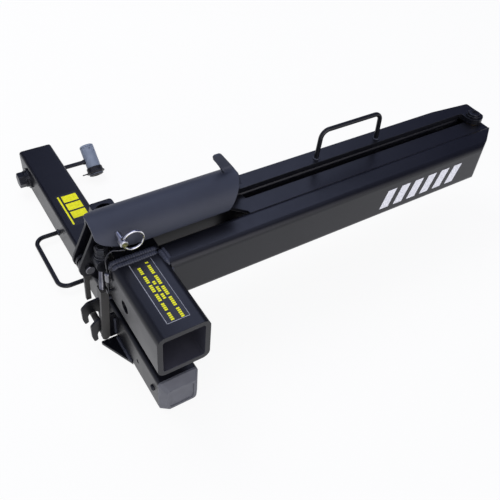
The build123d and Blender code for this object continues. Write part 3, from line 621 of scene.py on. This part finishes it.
def weld_bead(name, points, width, body, seed, closed=False):
    """A run of overlapping weld ripples: a tube whose width swells at each ripple and wanders a little."""
    steps_in_ripple, sides = 5, 10
    pitch = width * 0.34
    step = pitch / steps_in_ripple
    path = even_path(points, step)
    if closed:
        path = path[:-1]
    bm = bmesh.new()
    rings = []
    for i, (point, first, second) in enumerate(path_frames(path)):
        along = i * step
        ripple = abs(math.sin(math.pi * along / pitch + 0.5 * noise.noise(Vector((along * 0.3, seed, 0)))))
        wander = noise.noise(Vector((along * 0.22, seed * 7.3, 1.7)))
        end = 1.0 if closed else min(1.0, 0.55 + 0.45 * min(i, len(path) - 1 - i) / 6)
        radius = width / 2 * (0.86 + 0.16 * ripple + 0.12 * wander) * end
        rings.append(add_ring(bm, point, first, second, [radius] * sides))
    skin(bm, rings, closed)
    return piece(name, bm, body, weld_highlight_coat)


# Lever: the grip with its ends cut as on the sheet, and its lip


handle_low, handle_high = box_of("lever_handle")
grip_r = (handle_high[1] - handle_low[1]) / 2
grip_y = handle_low[1] + grip_r
grip_z = handle_low[2]
grip_t = 3.0
grip_left_x, grip_right_x = -40.0, 152.8
# The left end's outline in (Y, X) where it runs back over the rear cheek
rear_outline = ((162.0, -40.0), (168.0, -36.5), (175.0, -20.0), (185.1, -14.5))


def past(turn, start):
    """The share gone of the way from an angle to the grip's front edge at 180 degrees."""
    return max(0.0, (turn - start) / (180.0 - start))


def grip_left(turn):
    """The grip's left edge at an angle round its section, from the rear edge over the top to the front."""
    y = grip_y + grip_r * math.cos(math.radians(turn))
    if y > rear_outline[0][0]:
        for (y0, x0), (y1, x1) in zip(rear_outline, rear_outline[1:]):
            if y <= y1:
                return x0 + (x1 - x0) * (y - y0) / (y1 - y0)
    cut, cut_from, cut_power = 40.0, 138.0, 2.2
    return grip_left_x + cut * past(turn, cut_from) ** cut_power


def grip_right(turn):
    """The grip's right edge at an angle round its section: a long cut and a small corner in front."""
    cut, cut_from, cut_power = 25.5, 93.0, 1.4
    corner, corner_from = 1.5, 174.0
    return grip_right_x - cut * past(turn, cut_from) ** cut_power - corner * past(turn, corner_from) ** 2


def lever_grip():
    """The half round grip of bent sheet, with the pull pin's hole."""
    bm = bmesh.new()
    rings = []
    rows, columns = 90, 24
    for i in range(rows + 1):
        turn = 180.0 * i / rows
        across = (math.cos(math.radians(turn)), math.sin(math.radians(turn)))
        left, right = grip_left(turn), grip_right(turn)
        loop = [(left + (right - left) * k / columns, grip_r) for k in range(columns + 1)]
        loop += [(right + (left - right) * k / columns, grip_r - grip_t) for k in range(columns + 1)]
        rings.append([bm.verts.new((x, grip_y + across[0] * r, grip_z + across[1] * r)) for x, r in loop])
    skin(bm, rings)
    hole_r, hole_start, hole_depth = 3.25, 118.0, 20.0
    hole = drill(0.0, hole_depth, hole_r, (detent.x, hole_start, detent.z), (0, 1, 0), 24)
    mesh = shaped(plain_mesh(bm), [("DIFFERENCE", hole)])
    stand_in("lever_grip", mesh, "lever", grip_coat, "lever_handle", 40.0)


def lip():
    """The lip at the grip's free end: it rises out of the sheet in one bend, and a wing runs on below it."""
    # Y, Z and lean of the sheet along the bend
    bend = [(154.0, 75.8, 0.0), (158.0, 76.0, 12.0), (160.6, 77.2, 35.0), (162.2, 79.2, 58.0),
            (163.0, 82.0, 80.0), (163.2, 88.0, 90.0), (163.2, 94.0, 90.0), (163.2, 98.6, 90.0),
            (163.2, 100.2, 90.0), (163.2, 101.2, 90.0)]
    root_z, round_from_z, round_height, corner_r, thickness = 77.0, 98.6, 2.6, 2.0, 3.6
    root_left, top_left, left_slope = 137.6, 125.0, 0.68
    root_right, right_slope = 152.6, 0.71
    columns = 6
    bm = bmesh.new()
    rings = []
    for y, z, lean in bend:
        rise = max(0.0, z - root_z)
        corner = corner_r * (max(0.0, z - round_from_z) / round_height) ** 2
        left = max(top_left, root_left - rise * left_slope) + corner
        right = root_right - rise * right_slope - corner
        back_y = y + math.sin(math.radians(lean)) * thickness
        back_z = z - math.cos(math.radians(lean)) * thickness
        across = [left + (right - left) * k / columns for k in range(columns + 1)]
        ring = [bm.verts.new((x, y, z)) for x in across]
        ring += [bm.verts.new((x, back_y, back_z)) for x in reversed(across)]
        rings.append(ring)
    skin(bm, rings)
    wing = rounded([(145.0, 78.0), (152.3, 77.0), (161.0, 64.5), (168.0, 44.5), (156.0, 44.5),
                    (148.5, 60.0)], [0, 3, 8, 1.5, 1, 6])
    wing_front = bend[-1][0]
    slab(bm, *([(x, y, z) for x, z in wing] for y in (wing_front, wing_front + thickness)))
    stand_in("lever_lip", plain_mesh(bm), "lever", grip_coat, "finger_tab", 40.0)


# Lanyard: the crimped sleeve, the loop below it and the spiral strand cable


loop_wire_r = 0.6
cable_r = 0.8


def lanyard_sleeve():
    """The crimped sleeve at the cable's end: an oval tube with two pressed grooves."""
    x, y = cable_route[-1][:2]
    half_x, half_y, count = 3.1, 3.7, 28
    bm = bmesh.new()
    rings = []
    for z, swell in ((23.4, 0.72), (22.9, 0.9), (21.5, 1.0), (18.6, 1.0), (18.2, 0.93), (17.8, 1.0),
                     (15.0, 1.0), (14.6, 0.93), (14.2, 1.0), (11.6, 1.0), (10.9, 0.88), (10.5, 0.7)):
        angles = [2 * math.pi * i / count for i in range(count)]
        rings.append([bm.verts.new((x + half_x * swell * math.cos(a), y + half_y * swell * math.sin(a), z))
                      for a in angles])
    skin(bm, rings)
    stand_in("lanyard_sleeve", plain_mesh(bm), "swing_arm", pin_steel, "lanyard_ferrule", 50.0)


def lanyard_loop():
    """The thin loop below the sleeve, shaped like a drop, which hangs on the post."""
    x, y = cable_route[-1][:2]
    top, low, half_width, count = 11.5, -8.3, 3.8, 60
    line = []
    for i in range(count):
        turn = 2 * math.pi * i / count
        side = half_width * math.sin(turn / 2) ** 1.3 * math.sin(turn)
        line.append(Vector((x + 0.5 * side, y + side, top - (top - low) * (1 - math.cos(turn)) / 2)))
    bm = bmesh.new()
    skin(bm, [add_ring(bm, p, a, b, [loop_wire_r] * 8) for p, a, b in path_frames(line)], True)
    stand_in("lanyard_thin_loop", plain_mesh(bm), "swing_arm", cable_steel, "lanyard_loop", 60.0)


def lanyard_strands():
    """Six round strands laid round a seventh along the cable's route."""
    strand_r = cable_r / 3
    lay, count, sides = 9.0, 6, 6
    frames = path_frames(spline_points(cable_route, 24))
    bm = bmesh.new()
    for strand in range(count + 1):
        offset = 0.0 if strand == 0 else 2 * strand_r
        along = 0.0
        line = []
        for i, (point, first, second) in enumerate(frames):
            if i:
                along += (point - frames[i - 1][0]).length
            angle = 2 * math.pi * (strand / count + along / lay)
            line.append(point + (first * math.cos(angle) + second * math.sin(angle)) * offset)
        skin(bm, [add_ring(bm, p, a, b, [strand_r] * sides) for p, a, b in path_frames(line)])
    cable = piece("lanyard_strands", bm, "swing_arm", cable_steel)
    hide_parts("lanyard_cable")


# Pivot end


def pivot_head():
    """The pivot bolt: a low round head with a hexagon socket, its shank and the thread below the nut."""
    low, head = -56.5, box_of("pivot_washers")[1][2]
    pitch, root_r, shank_r = 1.5, 5.55, 6.35
    bm = bmesh.new()
    profile = [(low, 5.2)] + thread(low + 0.6, 8, pitch, root_r, shank_r)
    profile += [(low + 14.0, shank_r), (head, shank_r), (head, 8.0), (head + 0.4, 8.5), (head + 1.4, 8.5),
                (head + 2.0, 8.0), (head + 2.3, 6.8)]
    turned(bm, profile, pivot, (0, 0, 1), 40)
    socket = bmesh.new()
    prism(socket, polygon(pivot, 4.6, 6), head + 0.6, head + 6.0)
    mesh = shaped(plain_mesh(bm), [("DIFFERENCE", socket)])
    stand_in("pivot_bolt_round", mesh, "frame", oxide, "pivot_bolt")


def top_strap():
    """The fixed beam's top strap: its rear edge tapers to the end, and a round ear takes the pivot bolt."""
    (left, _, low), (right, rear, high) = box_of("fixed_top_strap")
    ear_r = right - pivot.x
    ear_left, ear_right, ear_front = pivot.x - ear_r, right - 0.1, 139.0
    outline = rounded([(left, fixed_front_y), (ear_left, fixed_front_y), (ear_left, ear_front),
                       (ear_right, ear_front), (ear_right, 177.0), (520.0, 183.5), (left, rear)],
                      [0, 2, 10, 6, 3, 60, 0])
    low, high = low + 0.05, high - 0.05
    bm = bmesh.new()
    prism(bm, outline, low, high)
    tools = [("UNION", drill(low, high, ear_r, pivot, (0, 0, 1), 64)),
             ("DIFFERENCE", drill(low - 2.0, high + 2.0, 6.4, pivot, (0, 0, 1), 40))]
    mesh = shaped(plain_mesh(bm), tools)
    stand_in("fixed_top_strap_clipped", mesh, "frame", tube_coat, "fixed_top_strap")


def beam_tongue():
    """The channel that carries the fixed beam on to the pivot, behind the swinging beam's sweep."""
    rear, wall, right, half_height = fixed_rear_y - 0.1, 3.0, 580.0, 31.9
    bm = bmesh.new()
    prism(bm, [(fixed_end_x, 182.6), (right - wall, 182.6), (right - wall, 166.0), (right, 166.0),
               (right, 183.5), (right - 2.5, rear), (fixed_end_x, rear)], -half_height, half_height)
    piece("fixed_beam_end", bm, "frame", tube_coat, False)


# Receiver and brace


def receiver():
    """The receiver tube with its wide corners, the cross pin's holes and a duller inside."""
    outer_corner, inner_corner = 9.5, 3.4
    rings = []
    bm = bmesh.new()
    for half, corner, ends in ((receiver_half, outer_corner, (0.0, receiver_depth)),
                               (receiver_half - receiver_wall, inner_corner, (receiver_depth, 0.0))):
        square = rounded([(half, half), (-half, half), (-half, -half), (half, -half)], [corner] * 4, 8)
        rings += [[bm.verts.new((x, y, z)) for x, z in square] for y in ends]
    skin(bm, rings, True)
    holes = drill(-40.0, 40.0, pin_hole_r, (0.0, pin_hole_y, 0.0), (1, 0, 0), 48)
    mesh = shaped(plain_mesh(bm), [("DIFFERENCE", holes)])
    tube = stand_in("receiver_tube_rounded", mesh, "swing_arm", tube_coat, "receiver_tube")
    inside = receiver_half - 6.0
    second_material(tube, inner_coat, lambda middle: abs(middle.x) < inside and abs(middle.z) < inside)


def brace():
    """The folded brace behind the fixed beam with its round corners and the opening in its top."""
    half_width, foot_rear, top = box_of("rear_brace")[1]
    top_rear, foot_z, corner_r, cut_half = 222.0, -60.0, 6.0, 16.0
    slope = (foot_rear - top_rear) / (top - foot_z)
    arc_x, arc_y = half_width - corner_r, top_rear - corner_r
    angles = [math.radians(a) for a in range(0, 91, 15)]
    corner = [(arc_x + corner_r * math.sin(a), arc_y + corner_r * math.cos(a)) for a in angles]
    corner += [(cut_half, arc_y), (cut_half, top_rear + 2.0), (arc_x, top_rear + 2.0)]
    tools = []
    for side in (-1, 1):
        cutter = bmesh.new()
        skin(cutter, [[cutter.verts.new((side * x, y + (top - z) * slope, z)) for x, y in corner]
                      for z in (top + 4.0, foot_z - 2.0)])
        tools.append(("DIFFERENCE", cutter))
    opening = bmesh.new()
    prism(opening, rounded([(-10.0, 187.5), (10.0, 187.5), (9.0, 212.0), (0.0, 215.5), (-9.0, 212.0)],
                           [2, 2, 5, 8, 5]), 20.0, 45.0)
    tools.append(("DIFFERENCE", opening))
    shape = shaped(node_mesh("rear_brace"), tools)
    stand_in("rear_brace_open", shape, "frame", tube_coat, "rear_brace")


# Draw bolt, lock and hitch bolt


cross_pin_place = Vector((-41.5, link_joint.y, -103.0))
link_axis = (link_joint - cross_pin_place).normalized()


def draw_bolt():
    """The draw bolt: a small hexagon over a round collar, and a threaded shank."""
    first = Vector((0, 1, 0))
    second = link_axis.cross(first)
    seat, across_flats = 12.45, 13.5
    pitch, root_r, shank_r = 1.25, 3.45, 4.0
    bm = bmesh.new()
    shank = [(-61.8, 3.0)] + thread(-61.2, 42, pitch, root_r, shank_r) + [(-8.0, shank_r), (12.4, shank_r)]
    turned(bm, shank, link_joint, link_axis, 28)
    turned(bm, [(12.5, 6.6), (12.9, 7.4), (14.6, 7.4), (15.2, 6.4)], link_joint, link_axis, 36)
    corner = hexagon_radius(across_flats)
    skin(bm, [add_ring(bm, link_joint + link_axis * along, first, second, [radius] * 6)
              for along, radius in ((15.1, corner), (21.6, corner), (22.4, corner * 0.9))])
    turned(bm, [(22.3, 5.4), (23.2, 5.2), (23.2, 3.4), (22.5, 3.0)], link_joint, link_axis, 28)
    bolt = stand_in("draw_bolt_threaded", plain_mesh(bm), "draw_link", pin_steel, "draw_bolt", 25.0)
    second_material(bolt, oxide, lambda middle: (middle - link_joint).dot(link_axis) > seat)


def draw_washers():
    """The flat washer and the split washer under the draw bolt's collar."""
    rings = bmesh.new()
    turned(rings, [(8.5, 8.2), (8.8, 8.5), (10.2, 8.5), (10.45, 8.2)], link_joint, link_axis, 40)
    turned(rings, [(10.5, 7.0), (10.8, 7.3), (12.1, 7.3), (12.4, 7.0)], link_joint, link_axis, 40)
    bore = drill(7.0, 14.0, 4.1, link_joint, link_axis, 28)
    mesh = shaped(plain_mesh(rings), [("DIFFERENCE", bore)])
    stand_in("draw_washers_small", mesh, "draw_link", oxide, "draw_washers", 25.0)


def lock_barrel():
    """The lock's barrel with its rolled end, a groove and a small set screw's hole."""
    bm = bmesh.new()
    turned(bm, [(-25.5, 7.6), (-25.2, 9.6), (-24.3, 10.8), (-22.6, 11.2), (-21.8, 11.2), (-21.5, 10.5),
                (-21.1, 10.5), (-20.8, 11.2), (16.0, 11.2), (24.3, 11.2)], lock_middle, lock_axis, 64)
    neck_r, core_r, screw_r = 3.3, 6.0, 1.6
    neck = drill(-25.0, 7.0, neck_r, lock_middle, (1, 0, 0), 32)
    core = drill(6.5, 26.0, core_r, lock_middle, lock_axis, 40)
    out = Vector((0.05, -0.61, 0.7))
    out = (out - lock_axis * out.dot(lock_axis)).normalized()
    screw = drill(9.4, 12.5, screw_r, lock_middle - lock_axis * 18.0, out, 24)
    mesh = shaped(plain_mesh(bm), [("DIFFERENCE", tool) for tool in (neck, core, screw)])
    stand_in("lock_barrel", mesh, "lock", materials["lock_enamel"], "lock_body", 30.0)


def lock_cap():
    """The lock's soft cap with its brim, and the pull that stands out of its side."""
    bm = bmesh.new()
    turned(bm, [(12.4, 11.35), (12.4, 12.3), (12.9, 12.7), (17.5, 12.9), (19.2, 13.4), (19.5, 14.4),
                (20.1, 14.8), (20.9, 14.8), (21.5, 14.2), (21.8, 12.0), (24.8, 10.6), (25.6, 9.4),
                (25.9, 5.0), (24.7, 4.6), (24.7, 11.3)], lock_middle, lock_axis, 64)
    side = Vector((-1.0, 0.0, 0.0))
    normal = lock_axis.cross(side)
    base = lock_middle + lock_axis * 20.5
    rings = []
    # Reach, half width and half thickness along the pull
    for reach, half_w, half_t in ((13.5, 2.8, 0.9), (16.0, 1.5, 0.9), (20.0, 1.3, 0.9), (21.4, 1.7, 0.9),
                                  (22.2, 1.2, 0.6)):
        between = (half_w + half_t) / 2
        radii = [half_w, between, half_t, between] * 2
        rings.append(add_ring(bm, base + side * reach, normal, lock_axis, radii))
    skin(bm, rings)
    stand_in("lock_cap_brimmed", plain_mesh(bm), "lock_cap", materials["cap_rubber"], "lock_dust_cap", 35.0)


def hitch_bolt():
    """The anti rattle bolt: hexagon head, shank, and the thin neck that the lock grips."""
    centre = Vector((0.0, lock_middle.y, lock_middle.z))
    along_x, shoulder = Vector((1, 0, 0)), stinger_half + 3.0
    seat = box_of("hitch_washers")[0][0]
    across_flats, head_height, shank_r, neck_r = 21.0, 10.2, 7.95, 3.25
    corner = hexagon_radius(across_flats)
    bm = bmesh.new()
    skin(bm, [add_ring(bm, centre + along_x * x, Vector((0, 1, 0)), Vector((0, 0, 1)), [radius] * 6)
              for x, radius in ((seat - head_height, corner * 0.9), (seat - head_height + 1.0, corner),
                                (seat, corner))])
    turned(bm, [(seat, shank_r), (shoulder - 0.6, shank_r), (shoulder, 7.3), (shoulder, neck_r),
                (82.4, neck_r), (83.0, 2.8)], centre, along_x, 36)
    turned(bm, [(62.6, 3.9), (63.0, 4.2), (65.5, 4.2), (65.9, 3.9)], centre, along_x, 32)
    stand_in("hitch_bolt_turned", plain_mesh(bm), "frame", oxide, "hitch_bolt", 25.0)


# Marks on the tubes: plain bars in place of print


def receiver_marks():
    """A plain keyline frame on the receiver's top, with three rows of plain yellow dashes inside it."""
    top = receiver_half
    ground = bmesh.new()
    decal_bar(ground, flat_label(-13.2, 14.5, 15.6, 111.0, top, 2.0), 0.0, 0.05)
    piece("receiver_mark_ground", ground, "swing_arm", film_black, False)
    line = bmesh.new()
    decal_bar(line, flat_bar(-12.3, 15.4, -11.7, 110.0, top), 0.05, 0.03)
    decal_bar(line, flat_bar(-12.3, 15.4, 14.7, 16.0, top), 0.05, 0.03)
    decal_bar(line, flat_bar(14.2, 16.0, 14.6, 110.0, top), 0.05, 0.02)
    piece("receiver_mark_line", line, "swing_arm", film_silver, False)
    dashes = bmesh.new()
    pitch, share = 2.9, 0.74
    # For each row its middle, its two ends, its height, and which dash in a row is left out
    for x, y0, y1, height, gap in ((-4.2, 18.0, 104.0, 3.7, 5), (1.5, 48.0, 78.0, 3.3, 4),
                                   (7.3, 17.0, 108.0, 3.7, 6)):
        for i in range(int((y1 - y0) / pitch)):
            if i % gap == gap - 1:
                continue
            start = y0 + i * pitch
            dash = flat_bar(x - height / 2, start, x + height / 2, start + pitch * share, top)
            decal_bar(dashes, dash, 0.05, 0.04)
    piece("receiver_mark_dashes", dashes, "swing_arm", film_yellow, False)


def shank_marks():
    """Three plain yellow blocks and a thin line on the shank's top."""
    top = stinger_top
    ground = bmesh.new()
    decal_bar(ground, flat_label(-14.5, 306.0, 18.0, 378.0, top, 2.5), 0.0, 0.05)
    piece("shank_mark_ground", ground, "frame", film_black, False)
    blocks = bmesh.new()
    for start in (321.0, 339.5, 358.0):
        decal_bar(blocks, flat_bar(-6.5, start, 15.5, start + 15.0, top), 0.05, 0.04)
    decal_bar(blocks, flat_bar(-12.0, 309.0, -9.6, 374.0, top), 0.05, 0.04)
    piece("shank_mark_blocks", blocks, "frame", film_yellow, False)


def beam_marks():
    """A row of plain slanted white bars on the swinging beam's front face."""
    bm = bmesh.new()
    low, high, slant = -16.0, 14.0, 9.0
    count, first, last, share = 6, 352.0, 511.0, 0.62
    pitch = (last - first - slant) / count
    y = beam_front_y
    for i in range(count):
        x0 = first + i * pitch
        x1 = x0 + pitch * share
        decal_bar(bm, [(x0, y, low), (x1, y, low), (x1 + slant, y, high), (x0 + slant, y, high)], 0.0, 0.08)
    piece("beam_mark_bars", bm, "swing_arm", film_white, False)


# Weld beads


def weld_beads():
    """The welds that show where the tubes, plates and wires join."""
    half, front, shank_left = receiver_half, beam_front_y, -stinger_half
    on_shank = stinger_top + 0.5
    brace_x, brace_start, brace_stop = 14.8, fixed_rear_y + 2.0, 261.0
    # Name, body, seed, width and route
    runs = [
        ("receiver_top_front", "swing_arm", 1, 8.0,
         [(-29.0, 115.6, 26.0), (-25.0, 115.4, half - 1.6), (0.0, 115.0, half - 0.9),
          (25.5, 115.6, half - 1.6)]),
        ("receiver_top_rear", "swing_arm", 11, 8.4,
         [(-30.5, 121.6, 24.0), (-26.0, 121.6, half - 1.0), (-2.0, 121.0, half - 0.2),
          (27.0, 121.4, half - 1.0)]),
        ("beam_front", "swing_arm", 2, 5.6, [(half + 0.4, front + 1.0, z) for z in (-26.0, 25.0)]),
        ("beam_top", "swing_arm", 3, 8.0,
         [(half - 0.8, front + 4.0, 25.5), (half - 2.0, front + 9.5, half - 2.2),
          (half - 2.4, 118.0, half - 2.0)]),
        ("beam_top_second", "swing_arm", 13, 5.0,
         [(half + 2.4, front + 9.0, half - 1.3), (half + 2.0, 119.0, half - 1.3)]),
        ("riser_front", "frame", 4, 5.0,
         [(x, fixed_front_y - 0.3, stinger_top + 0.6) for x in (-23.0, 23.0)]),
        ("riser_left", "frame", 5, 4.0,
         [(shank_left - 0.2, y, stinger_top - 0.3) for y in (fixed_front_y + 1.0, fixed_rear_y - 1.0)]),
        ("brace_left", "frame", 6, 4.5, [(-brace_x, y, on_shank) for y in (brace_start, brace_stop)]),
        ("brace_right", "frame", 7, 4.5, [(brace_x, y, on_shank) for y in (brace_start, brace_stop)]),
        ("gusset", "frame", 8, 6.0, [(shank_left - 0.6, y, -116.0) for y in (90.0, 134.0)]),
    ]
    for tag in ("front", "rear"):
        y = box_of(f"keeper_hook_{tag}")[0][1]
        route = [(shank_left - 0.6, y - 0.6, z) for z in (-82.0, -112.0)]
        runs.append((f"hook_{tag}", "frame", 9 + y, 4.0, route))
    for name, body, seed, width, route in runs:
        weld_bead(f"weld_{name}", route, width, body, seed)
    ring_r, ring_width = wire_r + 0.4, 2.6
    for tag, y in (("front", 240.0), ("rear", 346.0)):
        route = circle_points((shank_left - 0.5, y, -110.0), ring_r, (1, 0, 0))
        weld_bead(f"weld_loop_{tag}", route, ring_width, "frame", 20 + y, True)
    for tag, x in (("left", 290.0), ("right", 396.0)):
        route = circle_points((x, 169.0, fixed_top + 0.5), ring_r, (0, 0, 1))
        weld_bead(f"weld_handle_{tag}", route, ring_width, "frame", 30 + x, True)


for make in (lever_grip, lip, lanyard_sleeve, lanyard_loop, pivot_head, top_strap, beam_tongue, receiver,
             brace, draw_bolt, draw_washers, lock_barrel, lock_cap, hitch_bolt, receiver_marks,
             shank_marks, beam_marks, weld_beads, lanyard_strands):
    make()


# Floor, lights and camera


def floor():
    """A wide pale floor under the object, which still takes its shadow."""
    size, low = 14.0, stinger_bottom * MM - 0.0002
    bm = bmesh.new()
    bmesh.ops.create_grid(bm, x_segments=1, y_segments=1, size=size)
    bmesh.ops.translate(bm, verts=bm.verts, vec=(0, 0, low))
    mesh = mesh_from(bm, "studio_floor")
    obj = linked("studio_floor", mesh)
    mat, tree, bsdf, _ = shader("studio_floor")
    bsdf.inputs["Base Color"].default_value = (0.8, 0.8, 0.8, 1.0)
    bsdf.inputs["Roughness"].default_value = 0.9
    glow = tree.nodes.new("ShaderNodeEmission")
    glow.inputs["Strength"].default_value = 1.0
    ray = tree.nodes.new("ShaderNodeLightPath").outputs
    # The share of plain white in what each kind of ray sees of the floor
    seen = worked_out(tree, "MULTIPLY", ray["Is Camera Ray"], 0.92)
    for output, share in (("Is Glossy Ray", 0.6), ("Is Transmission Ray", 0.92)):
        part = worked_out(tree, "MULTIPLY", ray[output], share)
        seen = worked_out(tree, "MAXIMUM", seen, part)
    mix = tree.nodes.new("ShaderNodeMixShader")
    tree.links.new(seen, mix.inputs["Fac"])
    tree.links.new(bsdf.outputs["BSDF"], mix.inputs[1])
    tree.links.new(glow.outputs["Emission"], mix.inputs[2])
    tree.links.new(mix.outputs["Shader"], tree.nodes["Material Output"].inputs["Surface"])
    mesh.materials.append(mat)


# Soft boxes: azimuth from +X, elevation, the angles where each is full and where it ends, and its colour
soft_boxes = [(57.0, 46.0, 4.0, 17.0, (1.15, 1.28, 1.85)),
              (20.0, 82.0, 8.0, 34.0, (0.55, 0.58, 0.76)),
              (-90.0, 20.0, 12.0, 47.0, (1.85, 1.82, 1.92)),
              (165.0, 40.0, 10.0, 45.0, (0.5, 0.52, 0.6))]


def soft_box(tree, direction, azimuth, elevation, full, none, colour):
    """The light of one soft box in the world, which fades with the angle from its middle."""
    azimuth, elevation = math.radians(azimuth), math.radians(elevation)
    flat = math.cos(elevation)
    facing = tree.nodes.new("ShaderNodeVectorMath")
    facing.operation = "DOT_PRODUCT"
    tree.links.new(direction, facing.inputs[0])
    middle = (math.cos(azimuth) * flat, math.sin(azimuth) * flat, math.sin(elevation))
    facing.inputs[1].default_value = middle
    glow = tree.nodes.new("ShaderNodeMapRange")
    glow.interpolation_type = "SMOOTHSTEP"
    glow.inputs["From Min"].default_value = math.cos(math.radians(none))
    glow.inputs["From Max"].default_value = math.cos(math.radians(full))
    tree.links.new(facing.outputs["Value"], glow.inputs["Value"])
    scaled = tree.nodes.new("ShaderNodeVectorMath")
    scaled.operation = "SCALE"
    scaled.inputs[0].default_value = colour
    tree.links.new(glow.outputs["Result"], scaled.inputs["Scale"])
    return scaled.outputs["Vector"]


def world():
    """The light round the object: pale below, dim above, with soft boxes. The camera sees plain white."""
    scene_world = bpy.data.worlds.new("studio")
    bpy.context.scene.world = scene_world
    scene_world.use_nodes = True
    tree = scene_world.node_tree
    background = tree.nodes["Background"]
    direction = tree.nodes.new("ShaderNodeTexCoord").outputs["Generated"]
    split = tree.nodes.new("ShaderNodeSeparateXYZ")
    tree.links.new(direction, split.inputs["Vector"])
    light = ramp(tree, split.outputs["Z"], [(0.0, (0.9, 0.9, 0.92)), (0.13, (0.045, 0.052, 0.12))])
    for box in soft_boxes:
        total = tree.nodes.new("ShaderNodeVectorMath")
        tree.links.new(light, total.inputs[0])
        tree.links.new(soft_box(tree, direction, *box), total.inputs[1])
        light = total.outputs["Vector"]
    ray = tree.nodes.new("ShaderNodeLightPath").outputs
    seen = mix_colour(tree, ray["Is Camera Ray"], light, (1.0, 1.0, 1.0))
    tree.links.new(seen, background.inputs["Color"])
    background.inputs["Strength"].default_value = 1.0


def area_light(name, location, target, size, power):
    """A square soft box at a place in metres, turned towards a target, that only lights matt colour."""
    data = bpy.data.lights.new(name, "AREA")
    data.size = size
    data.energy = power
    obj = linked(name, data)
    obj.location = location
    obj.visible_glossy = False
    obj.rotation_euler = (Vector(target) - Vector(location)).to_track_quat("-Z", "Y").to_euler()


def camera():
    """The photograph's view: placed and turned as measured, with its lens and no shift."""
    azimuth, elevation, roll = (math.radians(a) for a in (-36.28, 44.76, 6.09))
    eye = Vector((-195.8, -364.6, 563.8)) * MM
    back = Vector((math.sin(azimuth) * math.cos(elevation), -math.cos(azimuth) * math.cos(elevation),
                   math.sin(elevation)))
    right = Vector((math.cos(azimuth), math.sin(azimuth), 0.0))
    up = back.cross(right)
    turned_right = right * math.cos(roll) + up * math.sin(roll)
    turned_up = up * math.cos(roll) - right * math.sin(roll)
    data = bpy.data.cameras.new("camera")
    data.lens = 46.61
    data.sensor_width = 36.0
    data.clip_start = 0.01
    data.clip_end = 60.0
    obj = linked("camera", data)
    turn = Matrix((turned_right, turned_up, back)).transposed().to_4x4()
    obj.matrix_world = Matrix.Translation(eye) @ turn
    bpy.context.scene.camera = obj


floor()
world()
studio_centre = (0.2, 0.15, -0.02)
area_light("key", (-0.2, 1.2, 1.7), studio_centre, 1.2, 22.0)
area_light("fill", (-1.4, -0.9, 1.2), studio_centre, 1.4, 8.0)
camera()
bpy.context.scene.view_settings.view_transform = "Standard"
